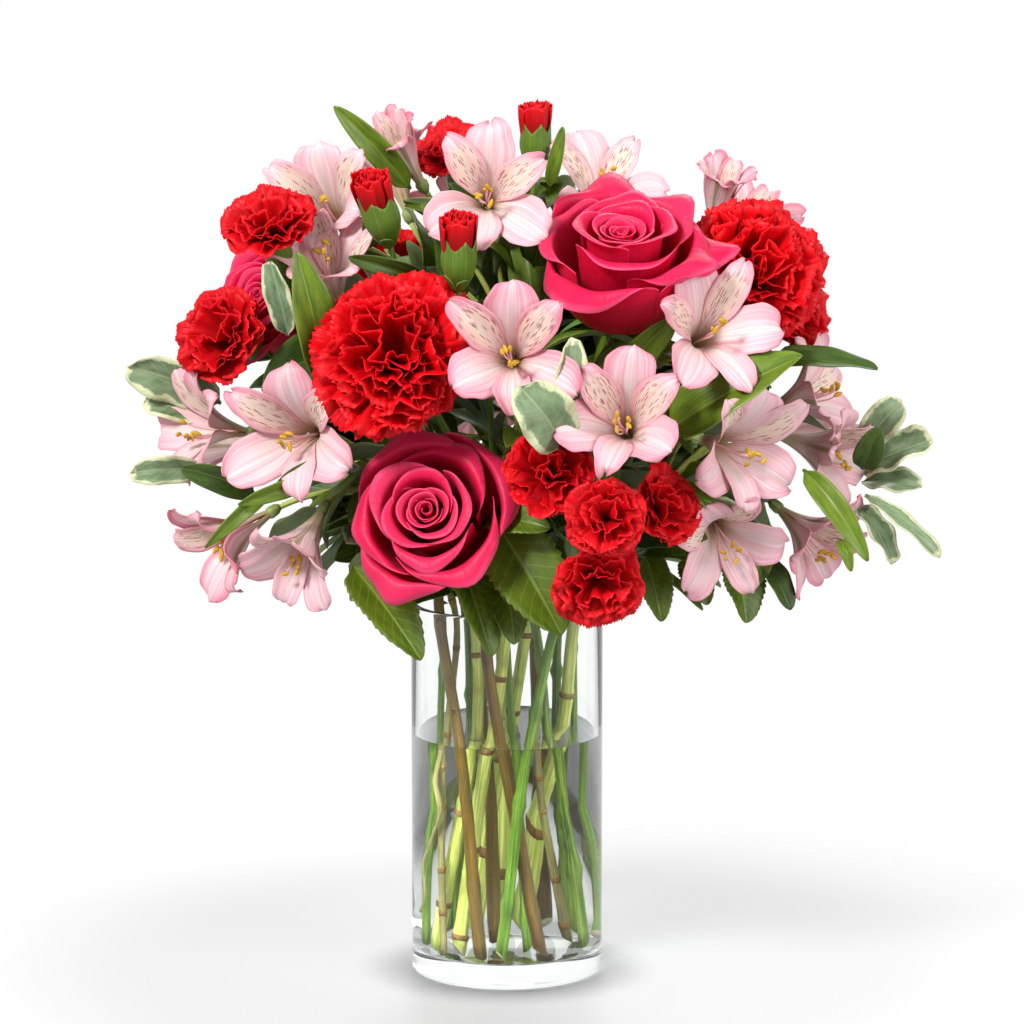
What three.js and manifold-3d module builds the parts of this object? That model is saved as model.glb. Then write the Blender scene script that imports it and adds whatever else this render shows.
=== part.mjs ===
// Mixed cut flowers standing in a glass cylinder of water: roses, carnations, spray carnations,
// alstroemeria and variegated greenery. +Z is up, -Y is the front, the origin is the middle of the
// vase's underside, and all sizes are in millimetres.
import * as THREE from 'three';
import { mergeVertices } from 'three/addons/utils/BufferGeometryUtils.js';
import Module from 'manifold-3d';

const wasm = await Module();
wasm.setup();

// ---- Driving dimensions -------------------------------------------------------------------------

const CLEARANCE = 0.4; // air between pieces that lie against each other
const FINEST = 0.1; // a cut piece keeps no detail finer than this

const VASE = {
  radius: 51, // outside
  height: 201,
  wall: 3,
  floor: 13, // thickness of the solid glass foot
  edge: 2.5, // rounding of the foot
  facets: 36,
};
const WATER_DEPTH = 113; // above the inside floor

// How far a stem's end stands off the floor, as a share of its radius, so that a leaning cut clears it.
const FOOT_LIFT = 0.5;

// A bloom is a turned solid. Its radius is the open face's, its length runs from the face down to the
// stem, and its profile lists [share of radius, share of length], from the stem end to the crown.
const BLOOMS = {
  rose: {
    radius: 47,
    length: 58,
    color: 0xd81b60,
    roughness: 0.6,
    profile: [
      [0, -1], [0.15, -1], [0.2, -0.86], [0.6, -0.72], [0.82, -0.35], [1, -0.02], [0.6, 0.12], [0, 0.14],
    ],
  },
  carnation: {
    radius: 41,
    length: 62,
    color: 0xc8102e,
    roughness: 0.75,
    profile: [[0, -1], [0.12, -1], [0.2, -0.85], [0.22, -0.5], [0.8, -0.3], [1, 0], [0.7, 0.26], [0, 0.36]],
  },
  spray: {
    radius: 24,
    length: 37,
    color: 0xd21430,
    roughness: 0.75,
    profile: [[0, -1], [0.14, -1], [0.28, -0.8], [0.3, -0.45], [0.85, -0.25], [1, 0], [0.7, 0.24], [0, 0.32]],
  },
  bud: {
    radius: 11,
    length: 26,
    color: 0x6f9a3c,
    roughness: 0.6,
    profile: [[0, -1], [0.3, -1], [0.85, -0.75], [1, -0.1], [0.95, 0.4], [0.5, 0.7], [0, 0.72]],
  },
  lily: {
    radius: 33,
    length: 44,
    color: 0xf0a8b8,
    roughness: 0.55,
    profile: [
      [0, -1], [0.08, -1], [0.2, -0.72], [0.42, -0.36], [0.96, -0.04], [1, 0.04], [0.5, -0.1], [0, -0.16],
    ],
  },
};
const BLOOM_FACETS = 10;

// A leaf is a flat blade with a short stalk. Its outline lists [share of length, share of half width].
const LEAVES = {
  long: { outline: [[0, 0.12], [0.25, 0.8], [0.5, 1], [0.8, 0.55], [1, 0.03]], color: 0x4a7a2c },
  oval: { outline: [[0, 0.1], [0.3, 0.75], [0.65, 1], [0.88, 0.75], [1, 0.06]], color: 0x7d9a6a },
  rose: { outline: [[0, 0.1], [0.15, 0.75], [0.4, 1], [0.75, 0.6], [1, 0.03]], color: 0x3c6b26 },
};
const LEAF_THICKNESS = 1.2;
const STALK_RADIUS = 0.9;

const BRANCH_RADIUS = 1.5; // the side stems of a spray or an umbel
const STEM_SIDES = 6;
const STEM_STEPS = 9;
const BRANCH_STEPS = 4;

// ---- The arrangement ----------------------------------------------------------------------------

// Each cut stem: its colour and radius, its way up through the vase as [x, y] at each of these heights,
// where it forks, and the blooms and leaves it carries. The way is in shares of the vase's inner radius
// and inner height. The fork, the blooms and the leaves are placed from the middle of the vase's mouth.
// A bloom lists its kind, its size beside the kind's own, where the middle of its face is, and which way
// it faces: degrees to the right of the front, and degrees above level. A leaf lists its kind, the middle
// of its base, its heading in the same two angles, its length and half width, and how far its blade is
// rolled about its length.
const WAY_HEIGHTS = [0, 0.596, 1.011];
const STEMS = [
  {
    name: 'rose_front_stem', radius: 3.3, color: 0x6b6a35,
    way: [[-0.271, -0.729], [-0.5, -0.646], [-0.75, -0.458]],
    blooms: [['rose_front', 'rose', 1, [-41, -118, 69], -12, 24]],
    leaves: [['rose', [-52, -66, 31], -20, -28, 50, 19, 20], ['rose', [-24, -62, 21], 20, -48, 42, 16, 10]],
  },
  {
    name: 'rose_upper_stem', radius: 3.3, color: 0x6b6a35,
    way: [[0.333, -0.625], [-0.062, -0.542], [-0.208, -0.646]], fork: [22, -24, 87],
    blooms: [['rose_upper', 'rose', 1.08, [58, -92, 206], 2, 62]],
    leaves: [['rose', [8, -60, 43], 4, -52, 56, 23, -12]],
  },
  {
    name: 'rose_left_stem', radius: 3, color: 0x6b6a35,
    way: [[-0.083, 0.208], [-0.25, 0.104], [-0.458, 0.167]],
    blooms: [['rose_left', 'rose', 0.8, [-130, -16, 166], -46, 34]],
    leaves: [],
  },
  {
    name: 'rose_back_stem', radius: 3, color: 0x6b6a35,
    way: [[0.25, 0.625], [0.333, 0.688], [0.292, 0.708]],
    blooms: [['rose_back', 'rose', 0.95, [30, 120, 129], 165, 28]],
    leaves: [['rose', [48, 96, 61], 150, -18, 52, 20, 0], ['rose', [-6, 98, 57], 195, -24, 50, 19, 0]],
  },
  {
    name: 'carnation_center_stem', radius: 2.8, color: 0x6f9a5a,
    way: [[0.688, -0.062], [0.458, -0.125], [0.229, -0.125]],
    blooms: [['carnation_center', 'carnation', 1.02, [-58, -120, 148], -10, 16]],
    leaves: [],
  },
  {
    name: 'carnation_right_stem', radius: 2.8, color: 0x6f9a5a,
    way: [[0.458, 0.458], [0.562, 0.542], [0.688, 0.458]],
    blooms: [['carnation_right', 'carnation', 0.96, [129, -55, 187], 28, 34]],
    leaves: [],
  },
  {
    name: 'carnation_back_stem', radius: 2.8, color: 0x6f9a5a,
    way: [[-0.375, 0.583], [-0.417, 0.625], [-0.5, 0.625]],
    blooms: [['carnation_back', 'carnation', 0.95, [-75, 105, 151], 208, 30]],
    leaves: [],
  },
  {
    name: 'spray_left_stem', radius: 2.2, color: 0x5f9440,
    way: [[-0.688, 0.062], [-0.75, 0.042], [-0.75, 0.021]], fork: [-58, -12, 74],
    blooms: [
      ['spray_left_upper', 'spray', 1.14, [-121, -84, 214], -24, 62],
      ['spray_left_lower', 'spray', 1.16, [-149, -54, 151], -38, 22],
      ['bud_left', 'bud', 1.05, [-66, -96, 225], -30, 62],
    ],
    leaves: [],
  },
  {
    name: 'spray_front_stem', radius: 3, color: 0x5f9440,
    way: [[-0.062, -0.812], [0.229, -0.688], [0.583, -0.562]], fork: [44, -62, 58],
    blooms: [
      ['spray_center', 'spray', 1, [22, -138, 92], 4, 22],
      ['spray_front', 'spray', 0.87, [51, -150, 71], 6, 12],
      ['spray_front_right', 'spray', 0.9, [82, -122, 72], 42, 24],
      ['spray_front_low', 'spray', 1, [46, -134, 33], 4, -14],
    ],
    leaves: [],
  },
  {
    name: 'spray_top_stem', radius: 2.2, color: 0x5f9440,
    way: [[0.188, -0.25], [0.062, -0.104], [-0.042, 0.042]], fork: [-10, -8, 122],
    blooms: [
      ['spray_top', 'spray', 0.92, [-27, 5, 239], -5, 55],
      ['bud_top', 'bud', 0.9, [15, 0, 252], 4, 82],
      ['bud_center', 'bud', 1, [-24, -116, 206], 4, 72],
    ],
    leaves: [],
  },
  {
    name: 'spray_back_stem', radius: 2.2, color: 0x5f9440,
    way: [[0.708, 0.292], [0.771, 0.333], [0.833, 0.292]], fork: [70, 40, 74],
    blooms: [
      ['spray_right_low', 'spray', 1.12, [153, -32, 157], 60, 12],
      ['spray_back', 'spray', 1.1, [120, 88, 131], 128, 22],
    ],
    leaves: [],
  },
  {
    name: 'lily_left_stem', radius: 3.6, color: 0x93a860,
    way: [[-0.667, -0.292], [-0.333, -0.292], [-0.417, -0.083]], fork: [-48, -34, 58],
    blooms: [
      ['lily_left', 'lily', 1.03, [-111, -102, 106], -22, 8],
      ['lily_far_left', 'lily', 0.86, [-164, -52, 103], -58, 12],
      ['lily_low_far_left', 'lily', 0.88, [-150, -62, 41], -52, -22],
      ['lily_low_left', 'lily', 0.88, [-110, -92, 39], -30, -36],
    ],
    leaves: [['long', [-84, -58, 61], -60, 4, 44, 7, 30]],
  },
  {
    name: 'lily_center_stem', radius: 3.6, color: 0x93a860,
    way: [[-0.479, -0.542], [-0.167, -0.354], [0.042, -0.333]], fork: [12, -46, 74],
    blooms: [
      ['lily_center', 'lily', 1.06, [1, -142, 154], -4, 16],
      ['lily_front_right', 'lily', 1.03, [59, -146, 121], -4, 22],
      ['lily_right', 'lily', 1, [106, -112, 163], 18, 22],
    ],
    leaves: [['long', [74, -102, 117], 50, 22, 74, 17, 62]],
  },
  {
    name: 'lily_right_stem', radius: 4, color: 0x93a860,
    way: [[0.083, 0.417], [0.625, 0.25], [0.854, 0.042]], fork: [76, -26, 58],
    blooms: [
      ['lily_right_lower', 'lily', 1.02, [123, -112, 98], 34, -2],
      ['lily_low_right', 'lily', 0.86, [113, -104, 49], 14, -16],
      ['lily_low_far_right', 'lily', 0.84, [164, -62, 40], 48, -30],
      ['lily_far_right_lower', 'lily', 0.86, [171, -52, 87], 58, -12],
      ['lily_far_right_upper', 'lily', 0.84, [166, -48, 121], 70, 22],
    ],
    leaves: [['long', [128, -30, 55], 80, -30, 56, 9, 40]],
  },
  {
    name: 'lily_top_stem', radius: 3.6, color: 0x93a860,
    way: [[-0.25, 0.458], [0.042, 0.312], [0.25, 0.208]], fork: [4, -12, 128],
    blooms: [
      ['lily_top', 'lily', 1, [-10, -82, 228], 0, 18],
      ['lily_top_right', 'lily', 0.9, [51, -8, 227], 8, 48],
      ['lily_left_inner', 'lily', 0.86, [-92, -80, 196], -18, 56],
      ['lily_left_upper', 'lily', 1, [-96, -52, 220], -18, 28],
    ],
    leaves: [
      ['long', [-50, -10, 219], -60, 45, 62, 8, 10],
      ['long', [-98, -96, 129], -22, 76, 62, 13, 0],
    ],
  },
  {
    name: 'lily_back_stem', radius: 3.6, color: 0x93a860,
    way: [[-0.021, 0.792], [-0.042, 0.792], [-0.083, 0.792]], fork: [0, 48, 70],
    blooms: [
      ['lily_back', 'lily', 1, [-20, 128, 91], 184, 8],
      ['lily_back_right', 'lily', 1, [82, 112, 71], 146, 2],
      ['lily_back_left', 'lily', 1, [-112, 92, 79], 226, 6],
      ['lily_back_top', 'lily', 1, [-18, 78, 201], 184, 52],
      ['lily_far_right', 'lily', 0.84, [130, 26, 203], 40, 50],
    ],
    leaves: [['long', [-50, 100, 39], 206, -26, 60, 12, 30]],
  },
  {
    name: 'greenery_left_stem', radius: 2, color: 0x8a8f3e,
    way: [[-0.646, -0.562], [-0.667, -0.292], [-0.604, -0.229]], fork: [-66, -18, 52],
    blooms: [],
    leaves: [
      ['oval', [-142, -30, 117], -72, 12, 46, 15, 30],
      ['oval', [-128, -40, 75], -72, 4, 44, 12, 10],
      ['oval', [-96, -70, 67], -58, -8, 40, 12, 10],
      ['oval', [-84, 20, 95], -110, 12, 60, 16, 0],
      ['oval', [-80, 50, 61], -140, -8, 60, 16, 0],
    ],
  },
  {
    name: 'greenery_right_stem', radius: 2, color: 0x8a8f3e,
    way: [[0.479, 0.167], [0.312, -0.292], [0.708, -0.333]], fork: [88, -36, 44],
    blooms: [],
    leaves: [
      ['oval', [172, -16, 81], 78, 14, 46, 15, 10],
      ['oval', [168, 0, 55], 88, -14, 52, 9, 30],
      ['oval', [142, 6, 121], 78, 22, 50, 14, 60],
      ['oval', [118, -58, 39], 30, -50, 34, 13, 0],
      ['oval', [132, 44, 61], 104, -8, 60, 17, 0],
    ],
  },
];

// ---- Solids -------------------------------------------------------------------------------------

// A closed three.js geometry as a solid, moved by a matrix.
function solidOf(geometry, matrix = new THREE.Matrix4()) {
  const bare = new THREE.BufferGeometry();
  const source = geometry.index ? geometry.toNonIndexed() : geometry;
  bare.setAttribute('position', source.getAttribute('position').clone());
  bare.applyMatrix4(matrix);
  const merged = mergeVertices(bare, 1e-3);
  return new wasm.Manifold(new wasm.Mesh({
    numProp: 3,
    vertProperties: merged.attributes.position.array,
    triVerts: new Uint32Array(merged.index.array),
  }));
}

// A solid back as a geometry.
function geometryOf(solid) {
  const mesh = solid.simplify(FINEST).getMesh();
  return new THREE.BufferGeometry()
    .setAttribute('position', new THREE.BufferAttribute(new Float32Array(mesh.vertProperties), 3))
    .setIndex(new THREE.BufferAttribute(new Uint32Array(mesh.triVerts), 1));
}

// The largest body of a solid: a petal's edge or a leaf's tip that a neighbour cuts free is dropped.
function largestBody(solid) {
  return solid.decompose().reduce((a, b) => (a.volume() > b.volume() ? a : b));
}

// The unit vector that faces so many degrees to the right of the front and above level.
function facing(right, up) {
  const [a, e] = [right, up].map(THREE.MathUtils.degToRad);
  return new THREE.Vector3(Math.sin(a) * Math.cos(e), -Math.cos(a) * Math.cos(e), Math.sin(e));
}

// A place given from the middle of the vase's mouth.
function fromMouth([x, y, z]) {
  return new THREE.Vector3(x, y, z + VASE.height);
}

// A round bar along a curve.
function barAlong(curve, radius, steps) {
  const section = new THREE.Shape();
  for (let i = 0; i < STEM_SIDES; i++) {
    const a = (2 * Math.PI * i) / STEM_SIDES;
    section[i ? 'lineTo' : 'moveTo'](radius * Math.cos(a), radius * Math.sin(a));
  }
  return solidOf(new THREE.ExtrudeGeometry(section, { steps, extrudePath: curve }));
}

// A profile whose every edge is shifted outwards by a distance; its two ends stay on the axis.
function grownProfile(points, grow) {
  const normals = points.slice(1).map((p, i) =>
    new THREE.Vector2(p.y - points[i].y, points[i].x - p.x).normalize());
  return points.map((p, i) => {
    const [before, after] = [normals[i - 1], normals[i]];
    if (!before || !after) return new THREE.Vector2(0, p.y + grow / (before ?? after).y);
    const corner = before.clone().add(after);
    return p.clone().addScaledVector(corner, grow / corner.dot(after));
  });
}

// A bloom's turned solid, grown all round by a clearance.
function bloomSolid(kind, size, at, face, grow = 0) {
  const { radius, length, profile } = BLOOMS[kind];
  const outline = grownProfile(
    profile.map(([r, l]) => new THREE.Vector2(r * radius * size, l * length * size)), grow);
  const turn = new THREE.Quaternion().setFromUnitVectors(new THREE.Vector3(0, 1, 0), face);
  const matrix = new THREE.Matrix4().compose(at, turn, new THREE.Vector3(1, 1, 1));
  return solidOf(new THREE.LatheGeometry(outline, BLOOM_FACETS), matrix);
}

// A leaf's blade, its base at the origin of a frame that is turned to the heading and then rolled.
function bladeSolid(kind, base, face, length, halfWidth, roll, grow = 0) {
  const shape = new THREE.Shape();
  const edge = LEAVES[kind].outline.map(([l, w]) => [l * (length + grow), w * halfWidth + grow]);
  const points = [...edge, ...edge.map(([l, w]) => [l, -w]).reverse()];
  points.forEach(([l, w], i) => shape[i ? 'lineTo' : 'moveTo'](w, l));
  const depth = LEAF_THICKNESS + 2 * grow;
  const plate = new THREE.ExtrudeGeometry(shape, { depth, bevelEnabled: false }).translate(0, 0, -depth / 2);
  const side = new THREE.Vector3().crossVectors(face, new THREE.Vector3(0, 0, 1)).normalize();
  const matrix = new THREE.Matrix4().makeBasis(side, face, new THREE.Vector3().crossVectors(side, face));
  matrix.multiply(new THREE.Matrix4().makeRotationY(THREE.MathUtils.degToRad(roll)));
  return solidOf(plate, matrix.setPosition(base));
}

// ---- Pieces -------------------------------------------------------------------------------------

const bouquet = new THREE.Group();
bouquet.name = 'flowers_in_vase';

function addPiece(name, geometry, color, roughness, more = {}) {
  const material = new THREE.MeshStandardMaterial({ color, roughness, metalness: 0, ...more });
  const mesh = new THREE.Mesh(geometry, material);
  mesh.name = name;
  bouquet.add(mesh);
  return mesh;
}

// The vase: one turned piece of glass with a thick foot and a fire-polished rim.
const innerRadius = VASE.radius - VASE.wall;
const vaseProfile = [
  [0, 0], [VASE.radius - VASE.edge, 0], [VASE.radius - VASE.edge * 0.3, VASE.edge * 0.3],
  [VASE.radius, VASE.edge], [VASE.radius, VASE.height - VASE.wall / 2],
  [VASE.radius - VASE.wall / 2, VASE.height], [innerRadius, VASE.height - VASE.wall / 2],
  [innerRadius, VASE.floor + VASE.edge], [innerRadius - VASE.edge, VASE.floor], [0, VASE.floor],
].map(([r, z]) => new THREE.Vector2(r, z));
const vase = addPiece('vase', new THREE.LatheGeometry(vaseProfile, VASE.facets), 0xf4f8f6, 0.05, {
  transparent: true,
  opacity: 0.35,
});
vase.rotation.x = Math.PI / 2;

// Every cut stem with its branches. A bloom's branch leaves along the stem and arrives along the bloom's
// own axis. All that is in place is kept grown by the clearance, to cut what comes after.
const inPlace = [];
const clearOf = (solid, owner) => inPlace.filter((other) => !owner || other.owner !== owner)
  .reduce((rest, other) => rest.subtract(other.room), solid);

function stemTubes(stem, grow) {
  const way = stem.way.map(([x, y], i) => new THREE.Vector3(
    x * innerRadius, y * innerRadius, VASE.floor + WAY_HEIGHTS[i] * (VASE.height - VASE.floor)));
  if (stem.fork) way.push(fromMouth(stem.fork));
  way[0].z += CLEARANCE + stem.radius * FOOT_LIFT - grow;
  const ends = stem.blooms.map(([, kind, size, at, right, up]) => {
    const face = facing(right, up);
    const stalk = BLOOMS[kind].length * size + CLEARANCE - grow;
    return { face, point: fromMouth(at).addScaledVector(face, -stalk) };
  });
  const single = ends.length === 1;
  if (single) way.push(ends[0].point);
  const main = new THREE.CatmullRomCurve3(way, false, 'centripetal');
  let tubes = barAlong(main, stem.radius + grow, STEM_STEPS);
  if (single) return { tubes, top: main.getPoint(0.75) };
  const top = way[way.length - 1];
  const start = top.clone().addScaledVector(main.getTangent(1), -stem.radius);
  for (const { face, point } of ends) {
    const reach = start.distanceTo(point) / 3;
    const leaving = start.clone().addScaledVector(main.getTangent(1), reach);
    const arriving = point.clone().addScaledVector(face, -reach);
    const branch = new THREE.CubicBezierCurve3(start, leaving, arriving, point);
    tubes = tubes.add(barAlong(branch, BRANCH_RADIUS + grow, BRANCH_STEPS));
  }
  return { tubes, top };
}

const stems = STEMS.map((stem) => {
  const { tubes, top } = stemTubes(stem, 0);
  const solid = largestBody(clearOf(tubes));
  inPlace.push({ owner: stem.name, room: stemTubes(stem, CLEARANCE).tubes });
  return { ...stem, solid, top };
});

for (const { blooms } of STEMS) {
  for (const [name, kind, size, at, right, up] of blooms) {
    const place = fromMouth(at);
    const face = facing(right, up);
    const solid = largestBody(clearOf(bloomSolid(kind, size, place, face)));
    inPlace.push({ owner: name, room: bloomSolid(kind, size, place, face, CLEARANCE) });
    addPiece(name, geometryOf(solid), BLOOMS[kind].color, BLOOMS[kind].roughness);
  }
}

// Leaves come last, because they bend away from everything else. Each is one piece with its stem.
for (const stem of stems) {
  let whole = stem.solid;
  for (const [kind, at, right, up, length, halfWidth, roll] of stem.leaves) {
    const base = fromMouth(at);
    const face = facing(right, up);
    const inside = base.clone().addScaledVector(face, length * 0.1);
    const [leaf, room] = [0, CLEARANCE].map((grow) =>
      barAlong(new THREE.LineCurve3(stem.top, inside), STALK_RADIUS + grow, 1)
        .add(bladeSolid(kind, base, face, length, halfWidth, roll, grow)));
    whole = largestBody(whole.add(clearOf(leaf, stem.name)));
    inPlace.push({ owner: stem.name, room });
  }
  addPiece(stem.name, geometryOf(whole), stem.color, 0.6);
}

// The water fills the vase up to its level, round the stems that stand in it.
const wet = innerRadius - CLEARANCE;
const water = new THREE.CylinderGeometry(wet, wet, WATER_DEPTH, VASE.facets);
const waterFoot = VASE.floor + VASE.edge + CLEARANCE;
const middle = new THREE.Matrix4().makeTranslation(0, 0, waterFoot + WATER_DEPTH / 2);
const upright = new THREE.Matrix4().makeRotationX(Math.PI / 2);
const stemsInWater = STEMS.map((stem) => stemTubes(stem, CLEARANCE).tubes);
const filled = solidOf(water, middle.multiply(upright));
addPiece('water', geometryOf(largestBody(stemsInWater.reduce((rest, other) => rest.subtract(other), filled))),
  0xe6f2f0, 0.02, { transparent: true, opacity: 0.3 });

export default bouquet;
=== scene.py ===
import bmesh
import bpy
import numpy as np
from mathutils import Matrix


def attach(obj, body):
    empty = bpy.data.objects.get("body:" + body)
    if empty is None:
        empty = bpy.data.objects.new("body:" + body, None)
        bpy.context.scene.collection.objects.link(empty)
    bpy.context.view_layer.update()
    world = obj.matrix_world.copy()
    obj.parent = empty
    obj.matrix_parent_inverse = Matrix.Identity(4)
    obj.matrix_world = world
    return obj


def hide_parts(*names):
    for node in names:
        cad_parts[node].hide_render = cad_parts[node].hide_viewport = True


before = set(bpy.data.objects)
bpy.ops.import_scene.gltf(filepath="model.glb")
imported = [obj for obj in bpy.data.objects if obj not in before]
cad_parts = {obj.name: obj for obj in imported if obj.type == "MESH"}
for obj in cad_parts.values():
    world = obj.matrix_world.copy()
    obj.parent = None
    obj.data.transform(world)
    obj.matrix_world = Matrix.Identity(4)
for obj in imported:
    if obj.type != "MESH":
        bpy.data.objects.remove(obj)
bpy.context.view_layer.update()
scene = bpy.context.scene
scene.view_settings.view_transform = "Standard"


# ---- The studio ---------------------------------------------------------------------------------
# A pale grey table that fades to white round the bouquet, a bright white room, a soft lamp at the upper
# left, a wide weaker one at the right and one behind, and grey cards that only glass and gloss can
# see. The camera looks down by ten degrees from 2.9 m away.

def node(tree, kind, inputs=None, **settings):
    """Adds a shader node; inputs gives, by name or number, a value or the socket that feeds it."""
    made = tree.nodes.new(kind)
    for key, value in settings.items():
        setattr(made, key, value)
    for key, value in (inputs or {}).items():
        if isinstance(value, bpy.types.NodeSocket):
            tree.links.new(value, made.inputs[key])
        else:
            made.inputs[key].default_value = value
    return made


def new_material(name):
    """An empty node material and its tree."""
    material = bpy.data.materials.new(name)
    material.use_nodes = True
    material.node_tree.nodes.clear()
    return material, material.node_tree


def finish_material(tree, shader):
    node(tree, "ShaderNodeOutputMaterial", {"Surface": shader})


def add_object(name, vertices, faces):
    """A mesh object from vertices in metres and faces."""
    mesh = bpy.data.meshes.new(name)
    mesh.from_pydata(vertices, [], faces)
    thing = bpy.data.objects.new(name, mesh)
    scene.collection.objects.link(thing)
    return thing


tilt = np.radians(10)
aim = np.array([0.0027, 0.0, 0.2486])
camera = bpy.data.objects.new("camera", bpy.data.cameras.new("camera"))
camera.location = aim + 2.9 * np.array([0, -np.cos(tilt), np.sin(tilt)])
camera.rotation_euler = (np.pi / 2 - tilt, 0, 0)
camera.data.lens = 192.2
camera.data.clip_end = 50
scene.collection.objects.link(camera)
scene.camera = camera

table = add_object(
    "table_top", [(-0.6, -0.6, 0), (0.6, -0.6, 0), (0.6, 0.6, 0), (-0.6, 0.6, 0)], [(0, 1, 2, 3)])
material, tree = new_material("pale_table")
place = node(tree, "ShaderNodeTexCoord").outputs["Object"]
far = node(tree, "ShaderNodeVectorMath", {0: place}, operation="LENGTH").outputs["Value"]
fade = node(tree, "ShaderNodeMapRange", {"Value": far, "From Min": 0.18, "From Max": 0.44},
            interpolation_type="SMOOTHSTEP").outputs["Result"]
speck = node(tree, "ShaderNodeTexNoise", {"Vector": place, "Scale": 900.0, "Detail": 2.0}).outputs["Fac"]
tone = node(tree, "ShaderNodeMix", {"Factor": fade, 6: (0.26, 0.26, 0.265, 1), 7: (0.5, 0.5, 0.5, 1)},
            data_type="RGBA").outputs[2]
# Painted shade: under the foot and just round it the table is darkened, in its colour and its glow, as if in
# the vase's own shadow.
clear = node(tree, "ShaderNodeMapRange", {"Value": far, "From Min": 0.044, "From Max": 0.085, "To Min": 0.3},
             interpolation_type="SMOOTHSTEP").outputs["Result"]
tone = node(tree, "ShaderNodeMix", {"Factor": clear, 6: (0.06, 0.06, 0.06, 1), 7: tone},
            data_type="RGBA").outputs[2]
# Painted light: the table glows faintly and evenly, which lifts the shadows cast on it; the painted shade
# under the vase cuts the glow.
glow = node(tree, "ShaderNodeMath", {0: clear, 1: 0.31}, operation="MULTIPLY").outputs[0]
bump = node(tree, "ShaderNodeBump", {"Height": speck, "Strength": 0.02, "Distance": 0.0005}).outputs[0]
top = node(tree, "ShaderNodeBsdfPrincipled", {
    "Base Color": tone, "Roughness": 0.45, "Normal": bump,
    "Emission Color": (1, 1, 1, 1), "Emission Strength": glow})
gone = node(tree, "ShaderNodeBsdfTransparent")
finish_material(tree, node(tree, "ShaderNodeMixShader", {
    0: fade, 1: top.outputs[0], 2: gone.outputs[0]}).outputs[0])
table.data.materials.append(material)

# The room is white to the eye and to the glass, and a little dimmer as a lamp, so that shade shows.
room = bpy.data.worlds.new("white_room")
room.use_nodes = True
room.node_tree.nodes.clear()
seen = node(room.node_tree, "ShaderNodeLightPath").outputs["Is Diffuse Ray"]
strength = node(room.node_tree, "ShaderNodeMapRange", {"Value": seen, "To Min": 1.0, "To Max": 0.58})
glow = node(room.node_tree, "ShaderNodeBackground", {"Color": (1, 1, 1, 1), "Strength": strength.outputs[0]})
node(room.node_tree, "ShaderNodeOutputWorld", {"Surface": glow.outputs[0]})
scene.world = room

for name, where, size, power in (
        ("key_lamp", (-1.5, -1.9, 2.1), 0.6, 112), ("fill_lamp", (1.8, -1.4, 1.0), 1.4, 40),
        ("back_lamp", (0.4, 2.0, 1.9), 1.2, 30)):
    lamp = bpy.data.objects.new(name, bpy.data.lights.new(name, "AREA"))
    lamp.data.size = size
    lamp.data.energy = power
    lamp.location = where
    away = np.array(where) - (0, 0, 0.28)
    heading = np.arctan2(away[0], -away[1])
    lamp.rotation_euler = (np.arctan2(np.hypot(away[0], away[1]), away[2]), 0, heading)
    lamp.visible_transmission = False  # or the foot of the vase shows it as white patches
    scene.collection.objects.link(lamp)

material, tree = new_material("grey_card")
place = node(tree, "ShaderNodeTexCoord").outputs["Object"]
height = node(tree, "ShaderNodeSeparateXYZ", {0: place}).outputs[2]
shade = node(tree, "ShaderNodeMapRange", {"Value": height, "From Min": 0.03, "From Max": 0.09, "To Min": 0.2,
                                          "To Max": 0.8}).outputs[0]
finish_material(tree, node(tree, "ShaderNodeEmission", {"Color": (1, 1, 1, 1), "Strength": shade}).outputs[0])
for number, turn in enumerate(np.radians([68, 112, 248, 292])):
    across = 0.055 * np.array([np.cos(turn), np.sin(turn)])
    middle = 0.75 * np.array([np.sin(turn), -np.cos(turn)])
    low, high = middle - across, middle + across
    corners = [(*low, 0.001), (*high, 0.001), (*high, 0.6), (*low, 0.6)]
    card = add_object(f"card_{number}", corners, [(0, 1, 2, 3)])
    card.data.materials.append(material)
    card.visible_camera = card.visible_diffuse = card.visible_shadow = False


# ---- The vase -----------------------------------------------------------------------------------
# A machine-blown florist's cylinder, 102 mm across and 201 mm high, of clear soda-lime glass. The wall
# is 3 mm with a fire-polished rim, and the foot is a solid 13 mm, hollowed a little underneath.

VASE_RADIUS, VASE_HEIGHT, WALL, FOOT = 51.0, 201.0, 3.0, 13.0
INSIDE = VASE_RADIUS - WALL


def quads(count, rows, columns, closed=False):
    """Corner numbers of the quads of several grids; closed grids join their last column to the first."""
    ids = np.arange(count * rows * columns).reshape(count, rows, columns)
    left = ids if closed else ids[:, :, :-1]
    right = np.roll(ids, -1, axis=2) if closed else ids[:, :, 1:]
    return np.stack([left[:, :-1], right[:, :-1], right[:, 1:], left[:, 1:]], axis=-1).reshape(-1, 4)


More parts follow.
